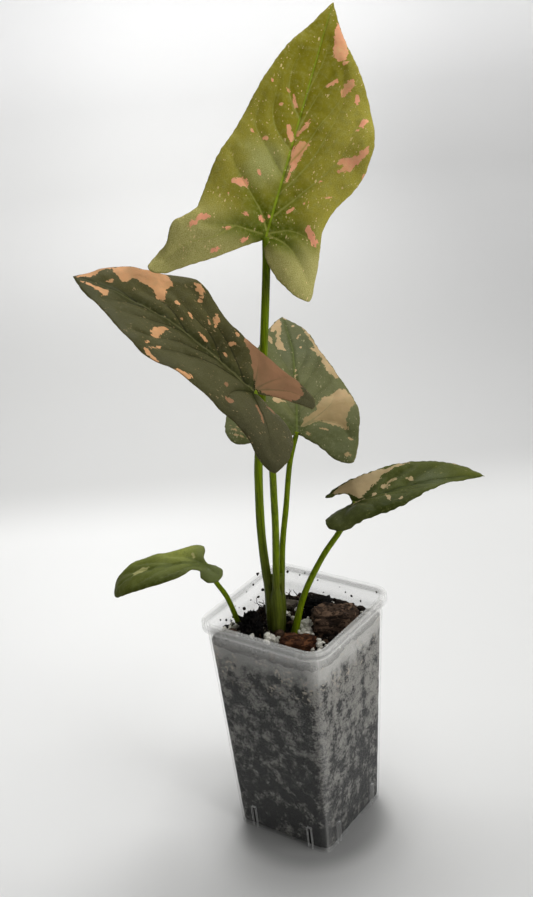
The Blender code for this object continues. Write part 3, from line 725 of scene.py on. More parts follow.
def blade_points(outline, lines):
    """A triangular grid inside the outline, with the veins' own points in it."""
    low, high = outline.min(0), outline.max(0)
    rows = np.arange(low[1], high[1], GRID * math.sqrt(3) / 2)
    grid = [
        (x, y) for i, y in enumerate(rows) for x in np.arange(low[0] + (i % 2) * GRID / 2, high[0], GRID)
    ]
    grid = np.array(grid)
    grid = grid[inside(outline, grid)]
    kept = distance_to(grid, outline)[0] > OUTLINE_ROOM * GRID
    for line in lines:
        kept &= distance_to(grid, line)[0] > VEIN_ROOM * GRID
    points = [grid[kept]]
    taken = outline
    for line in lines:
        line = line[inside(outline, line)]
        line = line[distance_to(line, taken)[0] > POINT_ROOM * GRID]
        if len(line):
            points.append(line)
            taken = np.vstack([taken, line])
    return np.vstack(points)


def zone_field(zone, flat):
    """Distance inward from the edge of a closed row of corners. It is negative outside."""
    corners = np.array(zone, float)
    edge = []
    for a, b in zip(corners, np.roll(corners, -1, 0)):
        count = max(2, int(np.linalg.norm(b - a) / 0.3))
        edge.append(a + (b - a) * np.linspace(0, 1, count, endpoint=False)[:, None])
    gap = distance_to(flat, np.vstack(edge))[0]
    return np.where(inside(corners, flat), gap, -gap)


def patch_field(leaf, flat):
    """How deep each flat point lies in a patch, in millimetres. It is negative outside."""
    field = np.full(len(flat), -4.0)
    for zone in leaf["zones"]:
        field = np.maximum(field, zone_field(zone, flat))
    for x, y, length, width, turn, *rest in leaf["patches"]:
        taper = rest[0] if rest else 0
        angle = math.radians(turn)
        dx, dy = flat[:, 0] - x, flat[:, 1] - y
        u = (dx * math.cos(angle) + dy * math.sin(angle)) / length
        v = (dy * math.cos(angle) - dx * math.sin(angle)) / (width * np.clip(1 + taper * u, 0.15, 2))
        field = np.maximum(field, (1 - np.hypot(u, v)) * min(length, 1.6 * width))
    return field


def blade_normals(leaf, flat):
    step = 0.2
    ahead = in_place(leaf, flat + (step, 0)) - in_place(leaf, flat - (step, 0))
    side = in_place(leaf, flat + (0, step)) - in_place(leaf, flat - (0, step))
    normal = np.cross(ahead, side)
    return normal / np.linalg.norm(normal, axis=1)[:, None]


def vein_fields(flat, lines):
    """Distance to the midrib and to the nearest side vein, the second growing as a vein thins out."""
    rib, share = distance_to(flat, lines[0])
    rib = rib + 0.45 * share**2
    side = np.full(len(flat), 9.0)
    for line in lines[1:]:
        gap, share = distance_to(flat, line)
        side = np.minimum(side, gap + 0.6 * share**1.5)
    return rib, side


def ridge(distance, size):
    """A smooth ridge of this height and half width along a line."""
    height, width = size
    return height * np.exp(-((distance / width) ** 2))


def blade_relief(leaf, level, edge, side):
    """How far the quilting, the crumples and the curled margin raise the blade."""
    quilt = QUILT_HEIGHT * (1 - np.exp(-((side / QUILT_WIDTH) ** 2))) * np.clip(edge / 4, 0, 1)
    crumple = 0.45 * grain(level, 7.0, leaf["wave"] + 5) + 0.1 * grain(level, 1.6, leaf["wave"] + 9)
    curl = 0.9 * grain(level, 9.0, leaf["wave"] + 2) * np.clip(1 - edge / 7, 0, 1)
    return quilt + crumple + curl - 0.4


def blade_mesh(name, leaf):
    """A thin closed blade with sunken veins above and raised ones below."""
    outline = blade_outline(leaf)
    lines = vein_lines(leaf)
    inner = blade_points(outline, lines)
    flat = np.vstack([outline, inner])
    count = len(outline)
    result = geometry.delaunay_2d_cdt([Vector(point) for point in flat], [], [list(range(count))], 1, 1e-5)
    flat = np.array([tuple(point) for point in result[0]])
    triangles = [tuple(face) for face in result[2]]
    edge = distance_to(flat, outline)[0]
    rib, side = vein_fields(flat, lines)
    level = at_height(flat)
    relief = blade_relief(leaf, level, edge, side)
    middle = in_place(leaf, flat)
    normal = blade_normals(leaf, flat)
    half = (EDGE_THICKNESS + (THICKNESS - EDGE_THICKNESS) * np.clip(edge / 1.2, 0, 1)) / 2
    groove = ridge(rib, RIB_GROOVE) + ridge(side, VEIN_GROOVE)
    under = ridge(rib, RIB_RIDGE) + ridge(side, VEIN_RIDGE)
    top = middle + normal * (half + relief - groove)[:, None]
    bottom = middle + normal * (relief - half - under * np.clip(edge / 2, 0, 1))[:, None]
    total = len(flat)
    faces = triangles + [tuple(total + i for i in reversed(face)) for face in triangles]
    faces += rim_faces(triangles, total)
    mesh = mesh_of(name, np.vstack([top, bottom]), faces)
    store(mesh, "flat", np.tile(level, (2, 1)))
    store(mesh, "under", np.repeat([0.0, 1.0], total))
    store(mesh, "rib", np.tile(rib, 2))
    store(mesh, "vein", np.tile(side, 2))
    store(mesh, "margin", np.tile(edge, 2))
    store(mesh, "patch", np.tile(patch_field(leaf, flat), 2))
    return mesh


def rim_faces(triangles, total):
    """Faces that join the upper and lower sheets round their open edge."""
    seen = set()
    for a, b, c in triangles:
        seen.update(((a, b), (b, c), (c, a)))
    return [(b, a, total + a, total + b) for a, b in seen if (b, a) not in seen]


# Colours of each leaf, with their shares and how far they reach. A pair ending in _from says where a colour
# starts and where it is full, along the leaf for ahead and across it for the others. aside, across, behind
# and behind_patch mix the blade's own colour with painted light and shade on one half or on the lobes, by
# how they face the lamps.
# The glow is a painted sheen spot, and on leaf 2 a dark spot of painted shade; the entry after it holds x,
# y and the reach of the glow. The crease reach is how far the painted shade beside the midrib goes, in the
# heart colour. The quilt share is a painted highlight between the veins, and the dark vein colour of leaf 2
# is painted shade in its sunken veins.
BLADE_LOOKS = {
    "leaf_blade_1": {
        "dark": (0.195, 0.17, 0.005), "light": (0.31, 0.275, 0.03), "grey": (0.35, 0.34, 0.11),
        "rib": (0.25, 0.34, 0.015), "rib_share": 0.75, "vein": (0.34, 0.34, 0.08), "vein_share": 0.6,
        "patch": (0.88, 0.365, 0.22), "fleck": (0.8, 0.62, 0.3), "under": (0.17, 0.19, 0.07),
        "margin": (0.3, 0.25, 0.08), "ahead": (0.202, 0.18, 0.005), "ahead_from": (15, 75),
        "aside": (0.34, 0.3, 0.055), "aside_from": (6, 34), "heart": (0.055, 0.095, 0.0),
        "behind": (0.5, 0.46, 0.19), "behind_patch": (0.86, 0.36, 0.22),
        "across": (0.44, 0.385, 0.07), "across_from": (-6, -24),
        "spots": 0.9, "quilt": 0.45, "heart_reach": 40, "crease_shade_reach": 1.2,
        "painted_sheen_and_shade": (0.41, 0.42, 0.17), "painted_sheen_and_shade_at": (30, 9, 14), "slot": "leaf_young", "rough": 0.5,
    },
    "leaf_blade_2": {
        "dark": (0.036, 0.034, 0.009), "light": (0.084, 0.08, 0.034), "grey": (0.1, 0.096, 0.048),
        "rib": (0.12, 0.115, 0.045), "rib_share": 0.6, "vein": (0.016, 0.016, 0.004), "vein_share": 0.75,
        "patch": (0.66, 0.33, 0.15), "fleck": (0.42, 0.3, 0.15), "under": (0.12, 0.14, 0.06),
        "margin": (0.12, 0.09, 0.03), "ahead": (0.045, 0.045, 0.01), "ahead_from": (40, 95),
        "aside": (0.092, 0.083, 0.028), "aside_from": (2, -4), "heart": (0.02, 0.025, 0.002),
        "behind": (0.07, 0.065, 0.032), "behind_patch": (0.27, 0.138, 0.07),
        "across": (0.036, 0.034, 0.009), "across_from": (20, 30),
        "spots": 0.5, "quilt": 0.75, "heart_reach": 16, "crease_shade_reach": 6.0,
        "painted_sheen_and_shade": (0.026, 0.024, 0.004), "painted_sheen_and_shade_at": (22, -10, 14), "slot": "leaf_mature", "rough": 0.48,
    },
    "leaf_blade_3": {
        "dark": (0.076, 0.08, 0.024), "light": (0.13, 0.135, 0.054), "grey": (0.155, 0.16, 0.08),
        "rib": (0.12, 0.15, 0.03), "rib_share": 0.45, "vein": (0.06, 0.07, 0.02), "vein_share": 0.4,
        "patch": (0.46, 0.31, 0.16), "fleck": (0.4, 0.36, 0.2), "under": (0.13, 0.15, 0.06),
        "margin": (0.2, 0.18, 0.09), "ahead": (0.095, 0.1, 0.045), "ahead_from": (30, 85),
        "aside": (0.078, 0.09, 0.024), "aside_from": (2, 14), "heart": (0.04, 0.055, 0.006),
        "behind": (0.075, 0.085, 0.03), "behind_patch": (0.32, 0.225, 0.105),
        "across": (0.13, 0.135, 0.054), "across_from": (-14, -24),
        "spots": 0.6, "quilt": 0.6, "heart_reach": 16, "crease_shade_reach": 2.5,
        "painted_sheen_and_shade": (0.1, 0.11, 0.055), "painted_sheen_and_shade_at": (60, -4, 16), "slot": "leaf_mature_back", "rough": 0.5,
    },
    "leaf_blade_4": {
        "dark": (0.034, 0.042, 0.004), "light": (0.078, 0.09, 0.022), "grey": (0.1, 0.11, 0.035),
        "rib": (0.03, 0.04, 0.006), "rib_share": 0.8, "vein": (0.04, 0.05, 0.012), "vein_share": 0.4,
        "patch": (0.42, 0.31, 0.17), "fleck": (0.3, 0.28, 0.1), "under": (0.08, 0.1, 0.02),
        "margin": (0.06, 0.07, 0.01), "ahead": (0.1, 0.11, 0.012), "ahead_from": (40, 66),
        "aside": (0.018, 0.026, 0.0), "aside_from": (-6, -16), "heart": (0.03, 0.04, 0.004),
        "behind": (0.06, 0.068, 0.02), "behind_patch": (0.42, 0.31, 0.17),
        "across": (0.07, 0.08, 0.015), "across_from": (6, 12),
        "spots": 0.4, "quilt": 0.7, "heart_reach": 14, "crease_shade_reach": 3.0,
        "painted_sheen_and_shade": (0.1, 0.115, 0.055), "painted_sheen_and_shade_at": (38, -1, 10), "slot": "leaf_low_right", "rough": 0.42,
    },
    "leaf_blade_5": {
        "dark": (0.075, 0.09, 0.012), "light": (0.13, 0.15, 0.035), "grey": (0.14, 0.165, 0.055),
        "rib": (0.1, 0.12, 0.03), "rib_share": 0.6, "vein": (0.1, 0.12, 0.04), "vein_share": 0.4,
        "patch": (0.36, 0.34, 0.14), "fleck": (0.25, 0.28, 0.09), "under": (0.13, 0.16, 0.03),
        "margin": (0.1, 0.1, 0.02), "ahead": (0.048, 0.052, 0.0), "ahead_from": (24, 44),
        "aside": (0.022, 0.03, 0.0), "aside_from": (3, 10), "heart": (0.06, 0.075, 0.01),
        "behind": (0.125, 0.15, 0.05), "behind_patch": (0.36, 0.34, 0.14),
        "across": (0.2, 0.23, 0.04), "across_from": (-6, -13),
        "spots": 0.25, "quilt": 0.5, "heart_reach": 14, "crease_shade_reach": 2.0,
        "painted_sheen_and_shade": (0.31, 0.34, 0.07), "painted_sheen_and_shade_at": (12, -12, 14), "slot": "leaf_low_left", "rough": 0.45,
    },
}


def patch_share(s, flat, tiny):
    """Where the coloured patches are, with ragged, angular edges."""
    cell = s.split(s.cells(s.stretch(flat, (0.6, 1.0, 1.0)), 1.1, "Color"))[0]
    broad = s.swing(s.noise(flat, 2.6, 3, 0.6), 2.4)
    ragged = s.sum(broad, s.swing(cell, 0.9))
    ragged = s.sum(ragged, s.swing(tiny, 0.7))
    return s.step(s.sum(s.attribute("patch"), ragged), -0.06, 0.1)


def fleck_share(s, flat, fine, tiny):
    """Small pale ragged flecks in loose crowds, closer together near the patches."""
    bent_flat = s.node("ShaderNodeVectorMath", {0: flat, 1: s.stretch(fine, 1)}, operation="ADD")
    ragged = s.times(s.sum(s.sum(tiny, fine), -1.0), 0.3)
    small = s.cells(s.stretch(bent_flat, (0.75, 1.2, 1.0)), 1.6)
    small = s.step(s.sum(small, ragged), 0.11, 0.2, 1.0, 0.0)
    large = s.cells(s.stretch(bent_flat, (0.5, 1.3, 1.0)), 3.4)
    large = s.step(s.sum(large, ragged), 0.08, 0.14, 1.0, 0.0)
    crowd = s.step(s.noise(flat, 8, 3, 0.6), 0.45, 0.56)
    near = s.step(s.attribute("patch"), -4.0, -0.5, 0.25, 0.9)
    crowd = s.sum(s.times(crowd, 0.85), s.times(near, crowd), "MAXIMUM")
    return s.times(s.sum(small, large, "MAXIMUM"), crowd)


def blade_green(s, look, flat, cloud, fine, tiny):
    """Mottled green, with a different green towards the tip, at the joint and along the veins, painted
    light and shade on either half, on the lobes, beside the midrib and over the quilting, and a painted
    sheen spot.
    """
    x, y = s.split(flat)[:2]
    rib, vein = s.attribute("rib"), s.attribute("vein")
    base = s.mix(s.step(cloud, 0.3, 0.7), look["dark"], look["light"])
    # Painted highlight: lighter between the veins, over the quilting.
    base = s.mix(s.step(vein, 0.7, 3.2, 0.0, look["quilt"]), base, look["light"])
    base = s.mix(s.times(s.step(x, *look["ahead_from"]), 0.75), base, look["ahead"])
    # Either half of the blade: its own colour mixed with painted light and shade by how it faces the lamps.
    wander = s.sum(y, s.swing(cloud, 5))
    base = s.mix(s.times(s.step(wander, *look["aside_from"]), 0.8), base, look["aside"])
    base = s.mix(s.times(s.step(wander, *look["across_from"]), 0.7), base, look["across"])
    # The lobes behind the joint: their own colour mixed with painted light and shade.
    behind = s.step(s.sum(x, s.swing(cloud, 12)), 14, -8)
    base = s.mix(s.times(behind, 0.8), base, look["behind"])
    # A painted sheen spot, and on leaf 2 a dark spot of painted shade.
    sheen_shade_x, sheen_shade_y, reach = look["painted_sheen_and_shade_at"]
    wander = s.sum(s.distance(flat, (sheen_shade_x, sheen_shade_y, 0)), s.swing(cloud, 14))
    base = s.mix(s.step(wander, 0.1 * reach, 1.2 * reach, 0.75, 0.0), base, look["painted_sheen_and_shade"])
    near = s.sum(s.distance(flat, (0, 0, 0)), s.times(s.sum(rib, vein, "MINIMUM"), 1.8))
    reach = look["heart_reach"]
    heart = s.times(s.step(near, 0.15 * reach, reach, 0.95, 0.0), s.step(x, -10, 0, 0.15, 1.0))
    base = s.mix(heart, base, look["heart"])
    # Painted shade beside the midrib, in the heart colour.
    crease_shade = s.times(s.step(rib, 0.5, look["crease_shade_reach"], 0.8, 0.0), s.step(y, 1.0, -1.0))
    base = s.mix(crease_shade, base, look["heart"])
    base = s.mix(s.step(fine, 0.42, 0.75, 0.0, 0.5), base, look["grey"])
    base = s.mix(s.step(tiny, 0.42, 0.62, 0.0, 0.45), base, look["dark"])
    # The veins' colour: pale on leaf 1, and dark on leaf 2 as painted shade in its sunken veins.
    base = s.mix(s.step(vein, 0.15, 0.75, look["vein_share"], 0.0), base, look["vein"])
    return s.mix(s.step(rib, 0.3, 0.7, look["rib_share"], 0.0), base, look["rib"])


def patch_tint(s, look, flat, cloud, fine):
    """Colour of the patches, their own colour mixed with painted shade near and behind the joint, and green
    along the veins.
    """
    tint = s.mix(s.step(fine, 0.35, 0.75, 0.0, 0.35), look["patch"], look["fleck"])
    tint = s.mix(s.step(s.split(flat)[0], 20, 12), tint, look["behind_patch"])
    tint = s.mix(s.step(cloud, 0.3, 0.75, 0.0, 0.35), tint, look["light"])
    return s.mix(s.step(s.attribute("vein"), 0.1, 0.8, 0.5, 0.0), tint, look["light"])


def blade_finish(name, look):
    """Green with fine veins, coloured patches with ragged edges, small flecks, painted light and shade, a
    painted sheen spot and a soft sheen.
    """
    s = Shader(name)
    flat = s.attribute("flat", "Vector")
    cloud = s.noise(flat, 13, 3, 0.5)
    fine = s.noise(flat, 2.4, 4, 0.65)
    tiny = s.noise(flat, 0.5, 3, 0.6)
    base = blade_green(s, look, flat, cloud, fine, tiny)
    base = s.mix(s.times(fleck_share(s, flat, fine, tiny), look["spots"]), base, look["fleck"])
    inside_patch = patch_share(s, flat, tiny)
    base = s.mix(inside_patch, base, patch_tint(s, look, flat, cloud, fine))
    base = s.mix(s.step(s.attribute("margin"), 0.05, 0.45, 0.5, 0.0), base, look["margin"])
    back = s.mix(s.step(cloud, 0.3, 0.7, 0.0, 0.6), look["under"], look["grey"])
    back = s.mix(s.times(inside_patch, 0.6), back, look["patch"])
    base = s.mix(s.attribute("under"), base, back)
    s.set(Base_Color=base, Roughness=s.step(fine, 0.3, 0.7, look["rough"] - 0.05, look["rough"] + 0.12))
    s.set(Specular_IOR_Level=0.06, Normal=s.bump(s.sum(tiny, s.times(fine, 1.5)), 0.2, 0.7))
    return s.material


def add_blades():
    for node, leaf in LEAVES.items():
        look = BLADE_LOOKS[node]
        finish = blade_finish(node + " skin", look)
        add_piece(blade_mesh(node + "_veined", leaf), finish, [node])


# Stems.


def across_axes(points):
    """Two unit vectors square to a line at each of its points, carried along without twisting."""
    ahead = np.gradient(points, axis=0)
    ahead /= np.linalg.norm(ahead, axis=1)[:, None]
    side = np.cross(ahead[0], (0.0, 1.0, 0.2))
    rows = []
    for direction in ahead:
        side = side - direction * (side @ direction)
        side = side / np.linalg.norm(side)
        rows.append(np.array([side, np.cross(direction, side)]))
    return rows


def tube_mesh(name, points, radius_at, sides):
    """A tube along the points. radius_at gives the radii of a ring from the share along and the angles."""
    angles = angles_round(sides)
    rings = []
    for i, (centre, axes) in enumerate(zip(points, across_axes(points))):
        radii = radius_at(i / (len(points) - 1), angles)[:, None]
        rings.append(centre + radii * (circle(angles) @ axes))
    faces = ringed_faces(len(rings), sides)
    total = len(rings) * sides
    faces += [(total, (j + 1) % sides, j) for j in range(sides)]
    last = (len(rings) - 1) * sides
    faces += [(total + 1, last + j, last + (j + 1) % sides) for j in range(sides)]
    mesh = mesh_of(name, np.vstack([*rings, points[0], points[-1]]), faces)
    shares = np.concatenate([np.repeat(np.linspace(0, 1, len(rings)), sides), [0.0, 1.0]])
    store(mesh, "share", shares)
    return mesh


def stem_finish(name, low, green, streak, low_share):
    """Green with long streaks, small dark specks and a paler foot."""
    s = Shader(name)
    place = s.place()
    long_grain = s.noise(s.stretch(place, (1.0, 1.0, 0.07)), 0.9, 4, 0.6)
    blotch = s.noise(s.stretch(place, (1.0, 1.0, 0.4)), 3.0, 3)
    share = s.attribute("share")
    base = s.mix(s.step(share, 0.0, low_share), low, green)
    base = s.mix(s.step(long_grain, 0.35, 0.7, 0.0, 0.7), base, streak)
    base = s.mix(s.step(blotch, 0.45, 0.75, 0.0, 0.4), base, low)
    specks = s.step(s.cells(s.stretch(place, (1.0, 1.0, 0.5)), 1.3), 0.09, 0.17, 1.0, 0.0)
    base = s.mix(s.times(specks, 0.5), base, tuple(0.35 * value for value in streak))
    s.set(Base_Color=base, Roughness=s.step(long_grain, 0.3, 0.7, 0.32, 0.48))
    s.set(Specular_IOR_Level=0.1, Normal=s.bump(long_grain, 0.15, 0.6))
    return s.material


def petiole_points(node, path):
    """Points along a stalk, which ends just under the joint of the blade with its number."""
    leaf = LEAVES[node.replace("petiole", "leaf_blade")]
    face = leaf_axes(leaf)[2]
    return curve_through([*path, tuple(np.array(leaf["joint"]) - face * 0.5)], STEM_RINGS)


def add_stems():
    green = stem_finish("petiole skin", (0.1, 0.11, 0.015), (0.15, 0.215, 0.0), (0.04, 0.065, 0.0), 0.25)
    for number, (node, petiole) in enumerate(PETIOLES.items()):
        points = petiole_points(node, petiole["path"])
        foot, partway, top = petiole["radii"]

        def radius_at(share, angles, foot=foot, partway=partway, top=top, seed=number):
            radius = np.interp(share, (0.0, 0.3, 1.0), (foot, partway, top))
            ridges = 0.035 * np.cos(7 * angles + seed) + 0.02 * np.cos(11 * angles + 2 * seed)
            uneven = 0.05 * noise.noise(Vector((9.0 * share, seed, 0.0)))
            return radius * (1 + ridges + uneven)

        mesh = tube_mesh(node + "_ridged", points, radius_at, STEM_SIDES)
        add_piece(mesh, green, [node])
    add_crown()


def sheath_radii(z, centre, angles):
    """Distance from the centre out to the farthest sheath in each direction, at one height."""
    heading = circle(angles)
    out = np.full(len(angles), 0.4)
    for heights, xs, ys, radii in SHEATHS:
        radius = np.interp(z, heights, radii)
        offset = np.array([np.interp(z, heights, xs), np.interp(z, heights, ys)]) - centre
        along_ray = heading @ offset
        room = radius**2 - (offset @ offset - along_ray**2)
        reach = np.where(room > 0, along_ray + np.sqrt(np.maximum(room, 0)), 0)
        out = np.maximum(out, reach if radius > 0.5 else 0)
    return out


def add_crown():
    """The sheaths of the three middle stalks, wrapped round each other and opening one after another."""
    heights = np.linspace(CROWN_FOOT, CROWN_TOP, CROWN_RINGS)
    angles = angles_round(CROWN_SIDES)
    rows = []
    for z in heights:
        centre = np.array([np.interp(z, CROWN_HEIGHTS, column) for column in CROWN_CENTRE])
        ripple = 1 + 0.02 * np.cos(14 * angles + 0.05 * z) + 0.015 * noise.noise(Vector((z / 4, 0, 3)))
        radii = sheath_radii(z, centre, angles) * ripple
        rows.append(at_height(centre + radii[:, None] * circle(angles), z))
    mesh = mesh_of("crown_sheathed", np.vstack(rows), closed_faces(CROWN_RINGS, CROWN_SIDES))
    store(mesh, "share", np.repeat(np.linspace(0, 1, CROWN_RINGS), CROWN_SIDES))
    # The crown's greens are darker than the stalks', painted shade under the leaves.
    shaded_greens = (0.055, 0.06, 0.012), (0.1, 0.125, 0.012), (0.03, 0.04, 0.004)
    finish = stem_finish("stem base skin painted shade", *shaded_greens, 0.7)
    add_piece(mesh, finish, ["crown"])


# Pot.


def wall_half(z):
    return POT_HALF_BOTTOM + (POT_HALF_TOP - POT_HALF_BOTTOM) * z / POT_HEIGHT


def wall_corner(z):
    return POT_CORNER_BOTTOM + (POT_CORNER_TOP - POT_CORNER_BOTTOM) * z / POT_HEIGHT


def rounded_square(half, corner, corner_steps=CORNER_STEPS, side_steps=SIDE_STEPS):
    """Flat points round a square with rounded corners, about the middle."""
    points = []
    for quarter in range(4):
        turn = complex(0, 1) ** quarter
        for step in range(corner_steps + 1):
            angle = math.pi / 2 * step / corner_steps
            arc = complex(half - corner, half - corner) + corner * complex(math.cos(angle), math.sin(angle))
            points.append(arc * turn)
        first = complex(half - corner, half) * turn
        last = complex(corner - half, half) * turn
        points += [first + (last - first) * step / side_steps for step in range(1, side_steps)]
    return np.array([(point.real, point.imag) for point in points])


def softened(profile, radius, steps=3):
    """The profile with each corner rounded. A point may carry its own radius."""
    points = []
    count = len(profile)
    for i, here in enumerate(profile):
        size = here[2] if len(here) > 2 else radius
        near = (here, profile[i - 1], profile[(i + 1) % count])
        here, before, after = (np.array(point[:2], float) for point in near)
        inward, outward = before - here, after - here
        reach = min(size, 0.45 * np.linalg.norm(inward), 0.45 * np.linalg.norm(outward))
        start = here + inward / np.linalg.norm(inward) * reach
        end = here + outward / np.linalg.norm(outward) * reach
        for t in np.linspace(0, 1, steps + 1):
            points.append((1 - t) ** 2 * start + 2 * t * (1 - t) * here + t**2 * end)
    return np.array(points)


def pot_section():
    """Distance out from the wall's outer face, and height, round the section of the wall and rim."""
    under = POT_HEIGHT - RIM_SHELF
    lip = POT_HEIGHT - RIM_DROP
    return softened(
        (
            (0.0, 0.0, 0.8), (0.0, under), (RIM_WIDTH - RIM_LIP, under), (RIM_WIDTH - RIM_LIP, lip),
            (RIM_WIDTH, lip), (RIM_WIDTH, POT_HEIGHT, 0.6), (-POT_WALL, POT_HEIGHT, 0.5),
            (-POT_WALL, POT_FLOOR, 1.2),
        ),
        0.35,
    )


def filled_section(section, longest=6.0):
    """The section from its first point on, with points added along its long straight runs."""
    rows = [section[0]]
    for a, b in zip(section, section[1:]):
        parts = max(1, math.ceil(np.linalg.norm(b - a) / longest))
        rows += [a + (b - a) * t for t in np.linspace(0, 1, parts + 1)[1:]]
    return np.array(rows)


def add_pot():
    section = filled_section(pot_section())
    rows = []
    for out, z in section:
        base = POT_HEIGHT if out > 0.02 else z
        ring = rounded_square(wall_half(base) + out, max(0.5, wall_corner(base) + out))
        rows.append(at_height(ring, z))
    mesh = mesh_of("pot_wall", np.vstack(rows), closed_faces(len(rows), len(rows[0])))
    pot = add_object("nursery_pot", mesh, pot_finish())
    cut_pot(pot)
    dress(pot, ["pot"])


def cut_pot(pot):
    """Cuts the drain slots and the shallow arch of each side."""
    bm = bmesh.new()
    radius = (ARCH_HALF_LENGTH**2 + ARCH_HEIGHT**2) / (2 * ARCH_HEIGHT)
    for side in range(4):
        turn = Matrix.Rotation(side * math.pi / 2, 4, "Z")
        for across in (-SLOT_PLACE, SLOT_PLACE):
            size = Matrix.Diagonal((SLOT_WIDTH, SLOT_DEPTH, 2 * SLOT_TOP, 1.0))
            spot = Matrix.Translation((across, -POT_HALF_BOTTOM, 0.0))
            bmesh.ops.create_cube(bm, size=1.0, matrix=turn @ spot @ size)
        spot = Matrix.Translation((0.0, -POT_HALF_BOTTOM, ARCH_HEIGHT - radius))
        lie = Matrix.Rotation(math.pi / 2, 4, "X")
        bmesh.ops.create_cone(
            bm, cap_ends=True, segments=ARCH_SIDES, radius1=radius, radius2=radius, depth=ARCH_DEPTH,
            matrix=turn @ spot @ lie,
        )
    bmesh.ops.scale(bm, vec=(MM, MM, MM), verts=bm.verts)
    cutter_mesh = bpy.data.meshes.new("pot cutter")
    bm.to_mesh(cutter_mesh)
    bm.free()
    cutter = linked("pot cutter", cutter_mesh)
    modifier = pot.modifiers.new("cut", "BOOLEAN")
    modifier.operation = "DIFFERENCE"
    modifier.object = cutter
    modifier.solver = "EXACT"
    modifier.use_self = True
    graph = bpy.context.evaluated_depsgraph_get()
    cut = bpy.data.meshes.new_from_object(pot.evaluated_get(graph))
    pot.modifiers.clear()
    pot.data = cut
    bpy.data.objects.remove(cutter)
    cut.shade_smooth()
    cut.set_sharp_from_angle(angle=math.radians(35))


def across_side(s, x, y):
    """Distance along a side of the pot from its middle."""
    return s.sum(s.magnitude(x), s.magnitude(y), "MINIMUM")


def from_slot(s, across):
    """Distance along a side of the pot from the middle of the nearest slot."""
    return s.magnitude(s.sum(across, -SLOT_PLACE))


def pot_finish():
    """Milky plastic, hazier round the top, with a painted highlight down the corners, painted light on the
    top of the right face, a painted shade line round the rim and faint upright streaks.
    """
    s = Shader("milky plastic")
    place = s.place()
    x, y, z = s.split(place)
    streak = s.noise(s.stretch(place, (1.0, 1.0, 0.02)), 1.6, 3)
    haze = s.noise(place, 12, 3)
    # Painted highlight: a paler, less clear line down the corners.
    narrow = across_side(s, x, y)
    slope = (POT_HALF_TOP - POT_HALF_BOTTOM) / POT_HEIGHT
    corner = s.sum(narrow, s.sum(s.times(z, slope), POT_HALF_BOTTOM - 8.5), "SUBTRACT")
    side_on = s.sum(x, s.magnitude(y), "SUBTRACT")
    toward = s.sum(s.step(side_on, -1.2, 0.6), s.step(x, -22, -26), "MAXIMUM")
    line = s.times(s.step(corner, 3.6, 4.6), toward)
    line = s.times(line, s.step(streak, 0.4, 0.6, 0.35, 1.0))
    top = s.step(s.sum(z, s.swing(haze, 14)), 97, 107)
    base = s.mix(s.step(streak, 0.35, 0.7, 0.0, 0.35), (0.44, 0.445, 0.44), (0.58, 0.58, 0.56))
    base = s.mix(s.step(haze, 0.4, 0.7, 0.0, 0.3), base, (0.38, 0.38, 0.36))
    clear = s.step(z, MIX_LEVEL + 1, MIX_LEVEL + 5)
    below_slot_top = s.step(z, SLOT_TOP + 0.3, SLOT_TOP + 0.8, 1.0, 0.0)
    edge = s.times(s.step(from_slot(s, narrow), 1.3, 1.6, 1.0, 0.0), below_slot_top)
    # Painted shade: groove is a dark, less clear line round the rim, not a cut in it.
    below_lip = s.step(z, POT_HEIGHT - 1.8, POT_HEIGHT - 1.2, 1.0, 0.0)
    groove = s.times(s.step(z, POT_HEIGHT - 3.4, POT_HEIGHT - 2.9), below_lip)
    foot = s.times(s.step(z, 0.3, 1.2, 1.0, 0.0), 0.4)
    rim_edge = s.sum(edge, foot, "MAXIMUM")
    # Paler down the corners as painted highlight, and round the top where the plastic is hazier.
    base = s.mix(s.sum(s.times(line, 0.8), s.times(top, 0.7), "MAXIMUM"), base, (0.66, 0.655, 0.63))
    base = s.mix(s.sum(clear, rim_edge, "MAXIMUM"), base, (0.84, 0.84, 0.82))
    # Painted light: the top band of the right face, towards the side lamp, is paler and a little less
    # clear.
    painted_light_right_top = s.times(s.step(x, 24, 30), top)
    base = s.mix(s.times(painted_light_right_top, 0.7), base, (0.92, 0.91, 0.87))
    base = s.mix(s.times(groove, 0.8), base, (0.3, 0.3, 0.29))
    alpha = s.sum(s.sum(0.065, s.times(top, 0.14)), s.times(line, 0.12))
    alpha = s.sum(alpha, s.sum(s.times(rim_edge, 0.24), s.times(groove, 0.12)))
    rear = s.sum(s.step(y, 20, 28), s.step(x, -20, -28), "MAXIMUM")
    alpha = s.sum(alpha, s.times(clear, s.step(rear, 0.0, 1.0, 0.07, -0.09)))
    alpha = s.sum(alpha, s.times(painted_light_right_top, 0.02))
    s.set(Base_Color=base, Alpha=alpha, IOR=1.45, Roughness=s.step(haze, 0.3, 0.7, 0.2, 0.32))
    s.set(Normal=s.bump(s.sum(streak, s.times(haze, 0.4)), 0.12, 0.5))
    return s.material


# Potting mix and what lies in it.


def mix_height(points):
    """Height of the lumpy top of the mix, lower towards the far left."""
    flat = at_height(points)
    coarse = 1.6 * grain(flat, 9.0) + 1.3 * grain(flat, 4.0, 3) + 1.1 * grain(flat, 1.6, 5)
    left = np.clip((-points[:, 0] - 9) / 14, 0, 1)
    back = np.clip((points[:, 1] + 13) / 9, 0, 1)
    return MIX_LEVEL + coarse - MIX_DIP * left * back


def mix_outline(z):
    half, corner = wall_half(z) - MIX_INSET, wall_corner(z) - MIX_INSET
    return rounded_square(half, corner, MIX_CORNER_STEPS, MIX_SIDE_STEPS)


